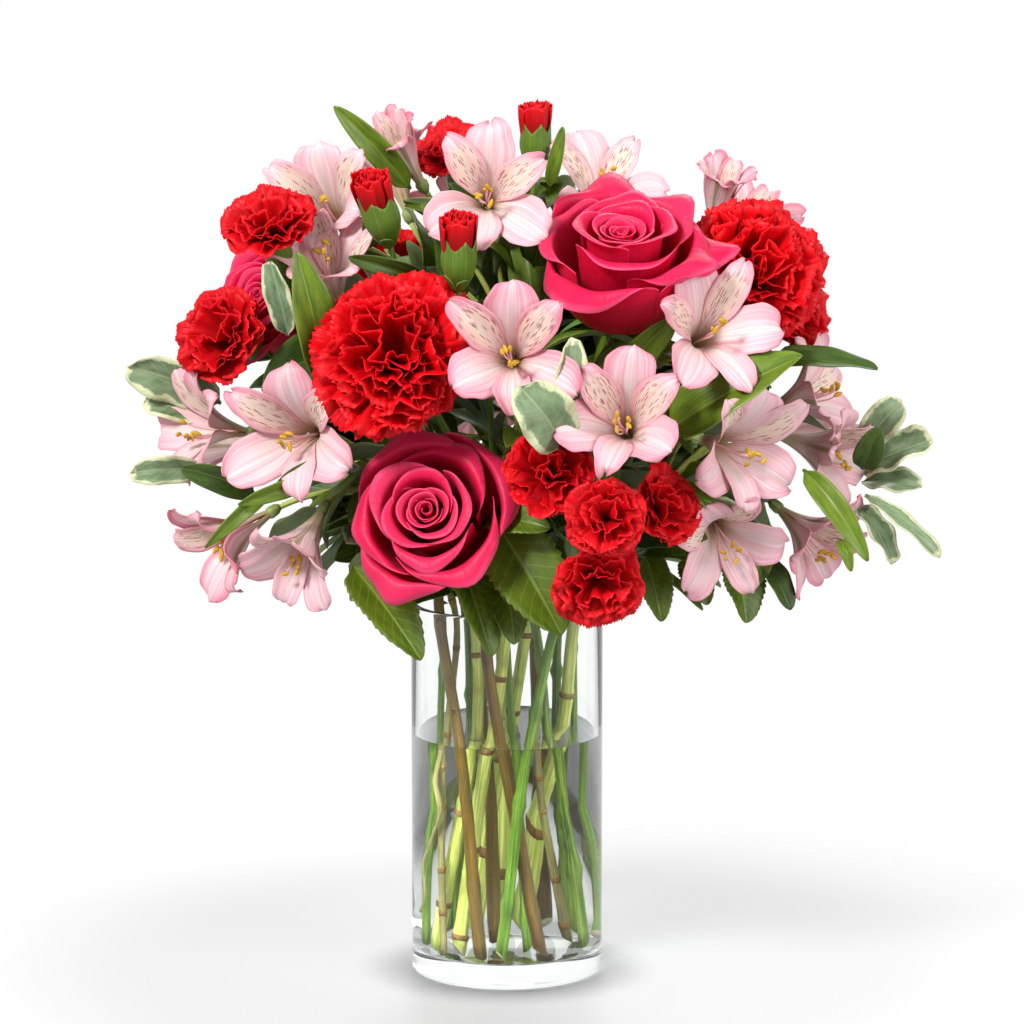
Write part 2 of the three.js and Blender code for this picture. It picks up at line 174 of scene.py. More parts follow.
def make_piece(name, sheets, materials, stands_for=(), thickness=0, underside=0):
    """Makes one piece from sheets, all in millimetres.

    Each sheet is a dictionary: points, of shape (sheets, rows, columns, 3); uv, the same with 2; tone,
    a number per sheet for its shade; material, its number; and closed, if its columns join up. With a
    thickness, every sheet becomes a shell whose back takes the material that many numbers on.
    """
    points, uvs, tones, faces, kinds, at = [], [], [], [], [], 0
    for sheet in sheets:
        count, rows, columns, _ = sheet["points"].shape
        these = quads(count, rows, columns, sheet.get("closed", False))
        points.append(sheet["points"].reshape(-1, 3))
        uvs.append(np.broadcast_to(sheet["uv"], (count, rows, columns, 2)).reshape(-1, 2))
        tone = np.asarray(sheet.get("tone", 0.5), float).reshape(-1, 1, 1)
        tones.append(np.broadcast_to(tone, (count, rows, columns)).reshape(-1))
        faces.append(these + at)
        kinds.append(np.full(len(these), sheet.get("material", 0)))
        at += count * rows * columns
    faces, kinds, uvs = np.concatenate(faces), np.concatenate(kinds), np.concatenate(uvs)
    mesh = bpy.data.meshes.new(name)
    mesh.from_pydata(np.concatenate(points) * 0.001, [], faces)
    mesh.uv_layers.new(name="UVMap").data.foreach_set(
        "uv", uvs[faces.reshape(-1)].astype(np.float32).reshape(-1))
    mesh.attributes.new("tone", "FLOAT", "POINT").data.foreach_set(
        "value", np.concatenate(tones).astype(np.float32))
    mesh.polygons.foreach_set("material_index", kinds.astype(np.int32))
    mesh.polygons.foreach_set("use_smooth", np.ones(len(faces), bool))
    if any(sheet.get("closed") for sheet in sheets):
        # Corners that fall on one spot, as at a pole, become one.
        shape = bmesh.new()
        shape.from_mesh(mesh)
        bmesh.ops.remove_doubles(shape, verts=shape.verts, dist=1e-6)
        shape.to_mesh(mesh)
        shape.free()
    for material in materials:
        mesh.materials.append(material)
    mesh.update()
    piece = bpy.data.objects.new(name, mesh)
    scene.collection.objects.link(piece)
    if thickness:
        shell = piece.modifiers.new("shell", "SOLIDIFY")
        shell.thickness = thickness * 0.001
        shell.offset = 0
        shell.material_offset = underside
    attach(piece, "root")
    if stands_for:
        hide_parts(*stands_for)
    return piece


def turned(profile, sides):
    """A surface turned round +Z: each profile point (r, z) goes to (r cos a, r sin a, z) for every a."""
    angle = np.linspace(0, 2 * np.pi, sides, endpoint=False)
    r, z = np.asarray(profile, float).T[:, :, None]
    points = np.stack([r * np.cos(angle), r * np.sin(angle), z + 0 * angle], axis=-1)[None]
    uv = np.stack(np.broadcast_arrays(angle / (2 * np.pi), z * 0.01), axis=-1)[None]
    return {"points": points, "uv": uv, "closed": True}


def rounded(corners, radii, steps=7):
    """A profile through corners, each rounded by a quadratic curve that starts its radius away."""
    corners = np.asarray(corners, float)
    out = [corners[:1]]
    for before, corner, after, radius in zip(corners, corners[1:], corners[2:], radii):
        a = corner + (before - corner) / np.linalg.norm(before - corner) * radius
        b = corner + (after - corner) / np.linalg.norm(after - corner) * radius
        s = np.linspace(0, 1, steps)[:, None]
        out.append((1 - s) ** 2 * a + 2 * s * (1 - s) * corner + s**2 * b)
    return np.concatenate(out + [corners[-1:]])


def maths(tree, operation, a, b=0.5, c=0.5):
    return node(tree, "ShaderNodeMath", {0: a, 1: b, 2: c}, operation=operation).outputs[0]


def clear_material(name, colour, ior, roughness, ripple):
    """A clear solid that lets lamps shine straight through, so that what stands in it is lit. A ray that
    has bent many times also goes straight on, a little dimmer, so that no corner of it goes black."""
    material, tree = new_material(name)
    place = node(tree, "ShaderNodeTexCoord").outputs["Object"]
    wave = node(tree, "ShaderNodeTexNoise", {"Vector": place, "Scale": 9.0, "Detail": 1.0}).outputs["Fac"]
    bump = node(tree, "ShaderNodeBump", {"Height": wave, "Strength": ripple, "Distance": 0.002}).outputs[0]
    solid = node(tree, "ShaderNodeBsdfPrincipled", {
        "Base Color": colour, "Roughness": roughness, "IOR": ior, "Transmission Weight": 1.0, "Normal": bump,
        "Specular Tint": (0.3, 0.3, 0.3, 1)})
    path = node(tree, "ShaderNodeLightPath")
    deep = maths(tree, "GREATER_THAN", path.outputs["Ray Depth"], 6.0)
    tint = node(tree, "ShaderNodeMix", {0: deep, 6: (0.96, 0.975, 0.97, 1), 7: (0.84, 0.85, 0.85, 1)},
                data_type="RGBA").outputs[2]
    open_ = node(tree, "ShaderNodeBsdfTransparent", {"Color": tint})
    lamp = maths(tree, "MAXIMUM", path.outputs["Is Shadow Ray"], deep)
    finish_material(tree, node(tree, "ShaderNodeMixShader", {
        0: lamp, 1: solid.outputs[0], 2: open_.outputs[0]}).outputs[0])
    return material


vase_profile = rounded(
    [(0, 0.7), (VASE_RADIUS - 9, 0.7), (VASE_RADIUS - 6, 0), (VASE_RADIUS, 0), (VASE_RADIUS, VASE_HEIGHT),
     (INSIDE, VASE_HEIGHT), (INSIDE, FOOT), (0, FOOT)],
    [1.2, 0.8, 3.2, 1.4, 1.4, 4.5])
make_piece("vase_glass", [turned(vase_profile, 160)], [clear_material(
    "clear_glass", (0.985, 1.0, 0.995, 1), 1.5, 0.0, 0.02)], ["vase"])


# ---- The water ----------------------------------------------------------------------------------
# Fresh water to a little over half the vase's height. It wets the glass, so it climbs the wall by a
# millimetre and a half at its edge, and there is no air between the two.

WATER_TOP = 128.5
wet = INSIDE + 0.15
edge = np.linspace(0, 1, 9)
water_profile = np.concatenate([
    rounded([(0, FOOT - 0.15), (wet, FOOT - 0.15), (wet, WATER_TOP + 1.6)], [4.5]),
    np.stack([wet - 5.5 * edge**1.4, WATER_TOP + 1.6 * (1 - edge) ** 2.2], axis=-1)[1:],
    [(20, WATER_TOP), (0, WATER_TOP)]])
make_piece("water_body", [turned(water_profile, 160)], [clear_material(
    "still_water", (0.99, 0.995, 0.985, 1), 1.33, 0.0, 0.0)], ["water"])


# ---- The stems ----------------------------------------------------------------------------------
# Eighteen cut stems stand in the water and lean out towards the rim. Roses have brown-green bark with a
# few prickles, carnations waxy green stems with swollen joints, and alstroemeria thick pale ones with a
# brown ring at each joint. Each foot is cut on a slant, and a side shoot of one twig hangs in the water.

# A stem's kind, its radius, its way up as (x, y, z), and its flowers: kind, size beside the usual one,
# the middle of its face, the degrees that it faces to the right of the front and above level, and how
# far it is rolled about its own axis.
STEMS = {
    "rose_front": ("rose", 3.3, [(-13, -35, 13), (-24, -31, 125), (-36, -22, 203)], {
        "rose_front": ("rose", 1, (-41, -118, 270), -12, 24, 20)}),
    "rose_upper": ("rose", 3.3, [(16, -30, 13), (-3, -26, 125), (-10, -31, 203), (22, -24, 288)], {
        "rose_upper": ("rose", 1.08, (58, -92, 407), 2, 62, 0)}),
    "rose_left": ("rose", 3, [(-4, 10, 13), (-12, 5, 125), (-22, 8, 203)], {
        "rose_left": ("rose", 0.8, (-130, -16, 367), -46, 34, 60)}),
    "rose_back": ("rose", 3, [(12, 30, 13), (16, 33, 125), (14, 34, 203)], {
        "rose_back": ("rose", 0.95, (30, 120, 330), 165, 28, 100)}),
    "carnation_center": ("carnation", 2.8, [(33, -3, 13), (22, -6, 125), (11, -6, 203)], {
        "carnation_center": ("carnation", 1.02, (-58, -120, 349), -10, 16, 0)}),
    "carnation_right": ("carnation", 2.8, [(22, 22, 13), (27, 26, 125), (33, 22, 203)], {
        "carnation_right": ("carnation", 0.96, (129, -55, 388), 28, 34, 0)}),
    "carnation_back": ("carnation", 2.8, [(-18, 28, 13), (-20, 30, 125), (-24, 30, 203)], {
        "carnation_back": ("carnation", 0.95, (-75, 105, 352), 208, 30, 0)}),
    "spray_left": ("spray", 2.2, [(-33, 3, 13), (-36, 2, 125), (-36, 1, 203), (-58, -12, 275)], {
        "spray_left_upper": ("spray", 1.14, (-121, -84, 415), -24, 62, 0),
        "spray_left_lower": ("spray", 1.16, (-149, -54, 352), -38, 22, 0),
        "bud_left": ("bud", 1.05, (-66, -96, 426), -30, 62, 0)}),
    "spray_front": ("spray", 3, [(-3, -39, 13), (11, -33, 125), (28, -27, 203), (44, -62, 259)], {
        "spray_center": ("spray", 1, (22, -138, 293), 4, 22, 0),
        "spray_front": ("spray", 0.87, (51, -150, 272), 6, 12, 0),
        "spray_front_right": ("spray", 0.9, (82, -122, 273), 42, 24, 0),
        "spray_front_low": ("spray", 1, (46, -134, 234), 4, -14, 0)}),
    "spray_top": ("spray", 2.2, [(9, -12, 13), (3, -5, 125), (-2, 2, 203), (-10, -8, 323)], {
        "spray_top": ("spray", 0.92, (-27, 5, 440), -5, 55, 0),
        "bud_top": ("bud", 0.9, (15, 0, 453), 4, 82, 0),
        "bud_center": ("bud", 1, (-24, -116, 407), 4, 72, 0)}),
    "spray_back": ("spray", 2.2, [(34, 14, 13), (37, 16, 125), (40, 14, 203), (70, 40, 275)], {
        "spray_right_low": ("spray", 1.12, (153, -32, 358), 60, 12, 0),
        "spray_back": ("spray", 1.1, (120, 88, 332), 128, 22, 0),
        "spray_back_low_more": ("spray", 1.0, (62, 134, 232), 160, -8, 0),
        "spray_back_high_more": ("spray", 0.95, (76, 92, 382), 150, 42, 0)}),
    "lily_left": ("lily", 3.6, [(-32, -14, 13), (-16, -14, 125), (-20, -4, 203), (-48, -34, 259)], {
        "lily_left": ("lily", 1.03, (-111, -102, 307), -22, 8, 10),
        "lily_far_left": ("lily", 0.86, (-164, -52, 304), -58, 12, -15),
        "lily_low_far_left": ("lily", 0.88, (-150, -62, 242), -52, -22, 30),
        "lily_low_left": ("lily", 0.88, (-110, -92, 240), -30, -36, -20),
        "lily_side_left_more": ("lily", 0.86, (-160, 34, 282), -112, 2, 15)}),
    "lily_center": ("lily", 3.6, [(-23, -26, 13), (-8, -17, 125), (2, -16, 203), (12, -46, 275)], {
        "lily_center": ("lily", 1.06, (1, -142, 355), -4, 16, 4),
        "lily_front_right": ("lily", 1.03, (59, -146, 322), -4, 22, -12),
        "lily_right": ("lily", 1, (106, -112, 364), 18, 22, 18)}),
    "lily_right": ("lily", 4, [(4, 20, 13), (30, 12, 125), (41, 2, 203), (76, -26, 259)], {
        "lily_right_lower": ("lily", 1.02, (123, -112, 299), 34, -2, -8),
        "lily_low_right": ("lily", 0.86, (113, -104, 250), 14, -16, 25),
        "lily_low_far_right": ("lily", 0.84, (164, -62, 241), 48, -30, -30),
        "lily_far_right_lower": ("lily", 0.86, (171, -52, 288), 58, -12, 12),
        "lily_far_right_upper": ("lily", 0.84, (166, -48, 322), 70, 22, -20),
        "lily_side_right_more": ("lily", 0.86, (168, 42, 290), 108, 4, 5)}),
    "lily_top": ("lily", 3.6, [(-12, 22, 13), (2, 15, 125), (12, 10, 203), (4, -12, 329)], {
        "lily_top": ("lily", 1, (-10, -82, 429), 0, 18, -6),
        "lily_top_right": ("lily", 0.9, (51, -8, 428), 8, 48, 14),
        "lily_left_inner": ("lily", 0.86, (-92, -80, 397), -18, 56, -25),
        "lily_left_upper": ("lily", 1, (-96, -52, 421), -18, 28, 10),
        "lily_crown_more": ("lily", 0.8, (-62, 34, 434), 216, 60, 0),
        "lily_shut_top_more": ("lily", 0.62, (-55, -24, 444), -40, 50, 0)}),
    "lily_back": ("lily", 3.6, [(-1, 38, 13), (-2, 38, 125), (-4, 38, 203), (0, 48, 271)], {
        "lily_back": ("lily", 1, (-20, 128, 292), 184, 8, 0),
        "lily_back_right": ("lily", 1, (82, 112, 272), 146, 2, 12),
        "lily_back_left": ("lily", 1, (-112, 92, 280), 226, 6, -14),
        "lily_back_top": ("lily", 1, (-18, 78, 402), 184, 52, 20),
        "lily_far_right": ("lily", 0.84, (130, 26, 404), 40, 50, 0),
        "lily_back_low_more": ("lily", 0.88, (-58, 132, 232), 200, -18, 0),
        "lily_shut_back_more": ("lily", 0.62, (112, 4, 418), 30, 64, 0)}),
    "greenery_left": ("twig", 2, [(-31, -27, 13), (-32, -14, 125), (-29, -11, 203), (-66, -18, 253)], {}),
    "greenery_right": ("twig", 2, [(23, 8, 13), (15, -14, 125), (34, -16, 203), (88, -36, 245)], {}),
}
LENGTH = {"rose": 58, "carnation": 62, "spray": 37, "bud": 26, "lily": 44}  # from a face down to its stem
RADIUS = {"rose": 47, "carnation": 41, "spray": 24, "bud": 11, "lily": 33}


def facing(right, up):
    """Unit vectors that face so many degrees to the right of the front and above level."""
    a, e = np.radians(right), np.radians(up)
    return np.stack([np.sin(a) * np.cos(e), -np.cos(a) * np.cos(e), np.sin(e) + 0 * a], axis=-1)


def unit(v):
    return v / np.linalg.norm(v, axis=-1, keepdims=True)


def smooth_way(way, steps):
    """A curve through points: between two of them, a Hermite cubic whose slope at each point leans
    towards the shorter neighbouring span (a centripetal Catmull-Rom curve)."""
    way = np.asarray(way, float)
    way = np.concatenate([2 * way[:1] - way[1:2], way, 2 * way[-1:] - way[-2:-1]])
    gap = np.sqrt(np.linalg.norm(np.diff(way, axis=0), axis=1))[:, None]
    slope = np.diff(way, axis=0) / gap
    turn = slope[:-1] - (way[2:] - way[:-2]) / (gap[:-1] + gap[1:]) + slope[1:]
    start, end, span = turn[:-1] * gap[1:-1], turn[1:] * gap[1:-1], way[1:-1]
    s = np.linspace(0, 1, steps, endpoint=False)[None, :, None]
    a, b, m, n = span[:-1, None], span[1:, None], start[:, None], end[:, None]
    curve = (2 * s**3 - 3 * s**2 + 1) * a + (s**3 - 2 * s**2 + s) * m + (3 * s**2 - 2 * s**3) * b \
        + (s**3 - s**2) * n
    return np.concatenate([curve.reshape(-1, 3), way[-2:-1]])


def drawn(controls, s):
    """A Bezier curve: the sum over j of C(n, j) s^j (1 - s)^(n - j) times control point j. The controls
    have shape (..., points, dimensions), and s has the same leading shape and any two more."""
    n = controls.shape[-2] - 1
    j = np.arange(n + 1)
    choose = np.cumprod(np.concatenate([[1], (n + 1 - j[1:]) / j[1:]]))
    weights = choose * s[..., None] ** j * (1 - s[..., None]) ** (n - j)
    return np.einsum("...rcj,...jd->...rcd", weights, controls)


def tube(path, radii, sides=12, slant=0.0, tone=0.5, material=0):
    """A round bar: at each point of the path a ring of its radius, square to the path. The first ring is
    sheared along the path by slant times its radius, as a cut foot is, and both ends are closed."""
    path, radii = np.asarray(path, float), np.broadcast_to(radii, len(path)).astype(float)
    ahead = unit(np.gradient(path, axis=0))
    side = np.cross(path[-1] - path[0], (0.0, 0.0, 1.0)) + (1e-4, 2e-4, 0)
    side = unit(side - ahead * (ahead @ side)[:, None])
    up = np.cross(ahead, side)
    along = np.concatenate([[0], np.cumsum(np.linalg.norm(np.diff(path, axis=0), axis=1))])
    rings = np.concatenate([[0], np.arange(len(path)), [len(path) - 1]])
    wide = np.concatenate([[0], radii, [0]])
    angle = np.linspace(0, 2 * np.pi, sides, endpoint=False)
    out = np.cos(angle)[:, None] * side[rings][:, None] + np.sin(angle)[:, None] * up[rings][:, None]
    points = path[rings][:, None] + wide[:, None, None] * out
    shear = slant * wide * np.exp(-along[rings] / (3 * radii[0] + 1e-9))
    points = points + (shear[:, None] * np.cos(angle + 0.7))[..., None] * ahead[rings][:, None]
    uv = np.stack(np.broadcast_arrays(angle[None] / (2 * np.pi), along[rings][:, None] * 0.01), axis=-1)
    return {"points": points[None], "uv": uv[None], "closed": True, "tone": tone, "material": material}


def streaks_group():
    """Long thin streaks that run up a piece: noise on (across times u, along times v, the piece's tone)."""
    group = bpy.data.node_groups.new("streaks", "ShaderNodeTree")
    for name, value in (("Across", 12.0), ("Along", 1.5), ("Low", 0.35), ("High", 0.65)):
        socket = group.interface.new_socket(name=name, in_out="INPUT", socket_type="NodeSocketFloat")
        socket.default_value = value
    group.interface.new_socket(name="Streaks", in_out="OUTPUT", socket_type="NodeSocketFloat")
    given = group.nodes.new("NodeGroupInput")
    uv = node(group, "ShaderNodeSeparateXYZ", {0: node(group, "ShaderNodeTexCoord").outputs["UV"]})
    tone = node(group, "ShaderNodeAttribute", attribute_name="tone").outputs["Fac"]
    at = node(group, "ShaderNodeCombineXYZ", {
        0: maths(group, "MULTIPLY", uv.outputs[0], given.outputs["Across"]),
        1: maths(group, "MULTIPLY", uv.outputs[1], given.outputs["Along"]),
        2: maths(group, "MULTIPLY", tone, 40.0)})
    noise = node(group, "ShaderNodeTexNoise", {"Vector": at.outputs[0], "Scale": 1.0, "Detail": 4.0})
    ends = node(group, "ShaderNodeMapRange", {
        "Value": noise.outputs["Fac"], "From Min": given.outputs["Low"], "From Max": given.outputs["High"]})
    node(group, "NodeGroupOutput", {0: ends.outputs[0]})
    return group


STREAKS = streaks_group()


def streaks(tree, across, along, low=0.35, high=0.65):
    return node(tree, "ShaderNodeGroup", {
        "Across": across, "Along": along, "Low": low, "High": high}, node_tree=STREAKS).outputs[0]


def mixed(tree, share, a, b, blend="MIX"):
    """One colour laid over another by a share."""
    a, b = [c if isinstance(c, bpy.types.NodeSocket) else (*c[:3], 1) for c in (a, b)]
    return node(tree, "ShaderNodeMix", {"Factor": share, 6: a, 7: b}, data_type="RGBA",
                blend_type=blend).outputs[2]


def ramp(tree, value, low, high, to_low=0.0, to_high=1.0):
    """A value's place between two others, smoothed at both ends."""
    return node(tree, "ShaderNodeMapRange", {"Value": value, "From Min": low, "From Max": high,
                "To Min": to_low, "To Max": to_high}, interpolation_type="SMOOTHSTEP").outputs[0]


def stem_material(name, base, other, spots, roughness=0.38):
    """A waxy skin: two greens in long streaks, a darker cloud here and there, and fine ribs."""
    material, tree = new_material(name)
    place = node(tree, "ShaderNodeTexCoord").outputs["Object"]
    cloud = node(tree, "ShaderNodeTexNoise", {"Vector": place, "Scale": 38.0, "Detail": 3.0}).outputs["Fac"]
    fine = streaks(tree, 26.0, 3.0)
    colour = mixed(tree, fine, base, other)
    colour = mixed(tree, ramp(tree, cloud, 0.5, 0.72, 0, 0.75), colour, spots)
    bump = node(tree, "ShaderNodeBump", {"Height": fine, "Strength": 0.5, "Distance": 0.0005}).outputs[0]
    finish_material(tree, node(tree, "ShaderNodeBsdfPrincipled", {
        "Base Color": colour, "Roughness": roughness, "Normal": bump, "Specular IOR Level": 0.4,
        "Subsurface Weight": 0.15, "Subsurface Radius": (0.3, 0.6, 0.1),
        "Subsurface Scale": 0.003}).outputs[0])
    return material


STEM_SKINS = {
    "rose": stem_material("rose_bark", (0.07, 0.062, 0.008), (0.2, 0.1, 0.014), (0.05, 0.02, 0.006), 0.34),
    "carnation": stem_material("carnation_skin", (0.04, 0.1, 0.008), (0.22, 0.32, 0.04), (0.02, 0.05, 0.004)),
    "spray": stem_material("spray_skin", (0.04, 0.11, 0.006), (0.2, 0.34, 0.03), (0.02, 0.055, 0.004)),
    "lily": stem_material("lily_skin", (0.3, 0.38, 0.04), (0.66, 0.7, 0.21), (0.2, 0.2, 0.025)),
    "twig": stem_material("twig_bark", (0.26, 0.25, 0.07), (0.17, 0.13, 0.06), (0.33, 0.3, 0.1), 0.6),
}
cut_end, tree = new_material("cut_end")
place = node(tree, "ShaderNodeTexCoord").outputs["Object"]
pith = node(tree, "ShaderNodeTexNoise", {"Vector": place, "Scale": 1400.0, "Detail": 3.0}).outputs["Fac"]
bump = node(tree, "ShaderNodeBump", {"Height": pith, "Strength": 0.4, "Distance": 0.0003}).outputs[0]
finish_material(tree, node(tree, "ShaderNodeBsdfPrincipled", {
    "Base Color": mixed(tree, pith, (0.45, 0.42, 0.2), (0.62, 0.58, 0.36)), "Roughness": 0.7,
    "Normal": bump}).outputs[0])
joint_ring = stem_material("joint_ring", (0.26, 0.14, 0.025), (0.1, 0.05, 0.012), (0.42, 0.32, 0.1), 0.7)
# How far apart a kind's joints are and how much they swell; a side branch's radius; and how many sides a
# stem has.
JOINTS = {"rose": (70, 0.12), "carnation": (58, 0.55), "spray": (52, 0.5), "lily": (46, 0.22),
          "twig": (24, 0.2)}
BRANCH = 1.5
STEM_SIDES = 14
FLOWERS, TOPS = {}, {}


def node_of(flower):
    """The CAD node a flower stands for: none, for one of the further blooms called "more"."""
    return () if flower.endswith("_more") else (flower,)


for number, (name, (kind, radius, way, flowers)) in enumerate(STEMS.items()):
    way = [list(point) for point in way]
    way[0][2] += 0.35 + radius * 0.5 + 0.6 * radius
    ends = {}
    for flower, (sort, size, at, right, up, roll) in flowers.items():
        face = facing(right, up)
        ends[flower] = (np.array(at) - face * (LENGTH[sort] * size - 0.5), face)
        FLOWERS[flower] = (sort, size, np.array(at, float), face, roll)
    if len(ends) == 1:
        way.append(next(iter(ends.values()))[0])
    path = smooth_way(way, 16)
    along = np.concatenate([[0], np.cumsum(np.linalg.norm(np.diff(path, axis=0), axis=1))])
    gap, swell = JOINTS[kind]
    near = (along + 13 * number) % gap - gap / 2
    radii = radius * (1 + swell * np.exp(-(near / 2.4) ** 2) - 0.22 * along / along[-1])
    sheets = [tube(path, radii, STEM_SIDES, 0.9, number * 0.13 % 1)]
    if kind in ("lily", "twig"):
        # The torn foot of a leaf's sheath leaves a brown ring at each joint.
        size = np.abs(near)
        joint = (size[1:-1] <= size[:-2]) & (size[1:-1] < size[2:]) & (path[1:-1, 2] < VASE_HEIGHT + 34)
        for k in 1 + np.flatnonzero(joint):
            ring = path[k] + unit(path[k + 1] - path[k - 1]) * np.array([-1.6, -0.6, 0.5, 1.3])[:, None]
            thick = radii[k] * np.array([1.02, 1.07, 1.13, 1.0])
            sheets.append(tube(ring, thick, STEM_SIDES, 0.0, 0.5, 2))
    TOPS[name] = (path, ends)
    if len(ends) > 1:
        heading = unit(path[-1] - path[-2])
        start = path[-1] - heading * radius
        for turn, (point, face) in enumerate(ends.values()):
            reach = np.linalg.norm(start - point) / 3
            controls = np.array([start, start + heading * reach, point - face * reach, point])
            branch = drawn(controls, np.linspace(0, 1, 22)[:, None])[:, 0]
            step = np.linspace(0, 1, 22)
            knob = 0.5 * np.exp(-((step - 0.45) / 0.03) ** 2) if kind == "spray" else 0
            sheets.append(tube(branch, BRANCH * (1 + knob), 10, 0.0, (number * 0.13 + turn * 0.21) % 1))
    if kind == "rose":
        # Prickles: short hooked cones that stand out of the bark, each a tube that thins to a point.
        rng = np.random.default_rng(40 + number)
        for pick in rng.integers(20, len(path) - 6, 5):
            ahead = unit(path[pick + 1] - path[pick])
            out = unit(np.cross(ahead, rng.normal(size=3)))
            spike = [path[pick] + out * (radius * 0.7 + d) - ahead * 0.12 * d**2 for d in (0, 1.2, 2.4, 3.8)]
            sheets.append(tube(spike, [1.5, 0.9, 0.45, 0.05], 8, 0.0, 0.9))
    piece = make_piece(name + "_stem_skin", sheets, [STEM_SKINS[kind], cut_end, joint_ring],
                       [name + "_stem"])
    # The first ring's cap is the cut, which shows the pale pith.
    kinds = np.zeros(len(piece.data.polygons), np.int32)
    piece.data.polygons.foreach_get("material_index", kinds)
    kinds[:STEM_SIDES] = 1
    piece.data.polygons.foreach_set("material_index", kinds)

# A crooked bare side shoot of the left twig hangs in the water.
path = smooth_way([(-32, -15, 114), (-36, -21, 103), (-34, -27, 90), (-38, -21, 72), (-41, -14, 58),
                   (-40, -17, 44), (-42, -12, 34)], 8)
step = np.linspace(0, 1, len(path))
knots = 1 + 0.3 * np.exp(-(((step * 6 + 0.5) % 1 - 0.5) / 0.09) ** 2)
make_piece("side_shoot", [tube(path, (1.6 - 0.7 * step) * knots, 12, 0.0, 0.6)], [STEM_SKINS["twig"]])


# ---- The roses ----------------------------------------------------------------------------------
# Four open hot pink roses. Each is twenty velvety petals set one after another round a spiral: the
# heart's are rolled tight, and the outer ones open wide, with lips that roll back to a point. A green hip
# with five thin sepals holds them on the stem.

GOLDEN = np.pi * (3 - 5**0.5)


def placed(points, at, face, roll):
    """Points of a flower that faces up its own +Z, turned to its heading, rolled and put in place."""
    side = unit(np.cross((0.0, 0.0, 1.0), face))
    up = np.cross(face, side)
    a = np.radians(roll)
    axes = np.stack([np.cos(a) * side + np.sin(a) * up, np.cos(a) * up - np.sin(a) * side, face])
    return points @ axes + at


def petal_grid(rows, columns):
    """s runs from a petal's base, 0, to its rim, 1; t runs from its left edge, -1, to its right one, 1."""
    return np.linspace(0, 1, rows)[None, :, None], np.linspace(-1, 1, columns)[None, None, :]


def petal_uv(count, rows, columns):
    s, t = petal_grid(rows, columns)
    return np.broadcast_to(np.stack(np.broadcast_arrays(t / 2 + 0.5, s), axis=-1), (count, rows, columns, 2))


def about_axis(radius, angle, height):
    return np.stack(np.broadcast_arrays(radius * np.sin(angle), -radius * np.cos(angle), height), axis=-1)


def rose_petals(radius, length, shares, rng, points):
    """Each petal wraps an angle round the axis, and its radius and height follow a Bezier curve from the
    hip, out to its belly, up to its top and over its lip. How far each reaches grows with its share, from
    the rolled heart (0) to the outside (1). One edge is tucked in and the other laps over its neighbour."""
    rows, columns, count = 24, 27, len(shares)
    s, t = petal_grid(rows, columns)
    f = np.asarray(shares)[:, None, None]
    turn = (np.arange(count) * GOLDEN + rng.normal(0, 0.22, count))[:, None, None]
    wrap = np.radians(np.interp(f, [0, 0.3, 0.62, 1], [150, 96, 72, 58])) + rng.normal(0, 0.06, f.shape)
    belly = radius * (0.035 + 0.68 * f**1.15)
    high = np.interp(f, [0, 0.3, 0.5, 0.7, 1], [0.0, 0.09, 0.14, 0.09, 0.0])
    top = length * (high + rng.normal(0, 0.018, f.shape))
    reach = radius * (0.015 + 0.985 * f) * (1 + rng.normal(0, 0.03, f.shape))
    drop = length * np.interp(f, [0, 0.55, 0.75, 1], [-0.08, -0.05, 0.1, 0.26])
    drop = drop * (1 + rng.normal(0, 0.35, f.shape))
    flat = lambda r, z: np.stack(np.broadcast_arrays(r, z), axis=-1)
    controls = np.stack([
        flat(0.05 * radius, -0.8 * length + 0 * f), flat(belly * 0.8, -0.82 * length + 0 * f),
        flat(belly * 1.25, -0.5 * length + 0 * f), flat(belly * 1.05, top - 0.1 * length),
        flat(belly * (0.86 + 0.28 * f), top + 0.06 * length * f**2), flat(reach, top - drop * 0.5)],
        axis=-2)[:, 0, 0]
    within = s * (1 - (0.12 + 0.2 * f) * np.abs(t) ** 2.1)
    profile = drawn(controls, np.broadcast_to(within, (count, rows, columns)))
    lip = np.clip((within - 0.8) / 0.2, 0, 1) ** 1.8
    # The lip rolls back at either side of the petal's middle, which leaves a point there.
    sides = 1 - points * np.exp(-((t / 0.3) ** 2))
    roll = f * rng.uniform(0.5, 1.6, f.shape)
    tip = points * f**2 * np.exp(-((t / 0.2) ** 2))
    out = profile[..., 0] + lip * radius * (0.05 * f * sides + 0.24 * tip)
    curl = 0.16 * roll * f**0.6 * sides * (0.4 + 0.6 * np.abs(t)) - 0.07 * tip
    rise = profile[..., 1] - lip * length * curl
    phase = rng.uniform(0, 6.28, (4, count, 1, 1))
    wave = s**2.5 * radius * (0.006 + 0.034 * f**1.4)
    out = out * (1 + (0.15 - 0.08 * f) * t) * (1 + 0.05 * (1 - f) * np.sin(turn + wrap * t + 0.8))
    out = out + wave * np.sin(3.2 * t + phase[0]) + 0.3 * wave * np.sin(11 * t + phase[3])
    rise = rise + wave * (1.4 * np.sin(2.6 * t + phase[1]) + 0.6 * np.sin(8 * t + phase[2]))
    return about_axis(out, turn + wrap * t, rise)


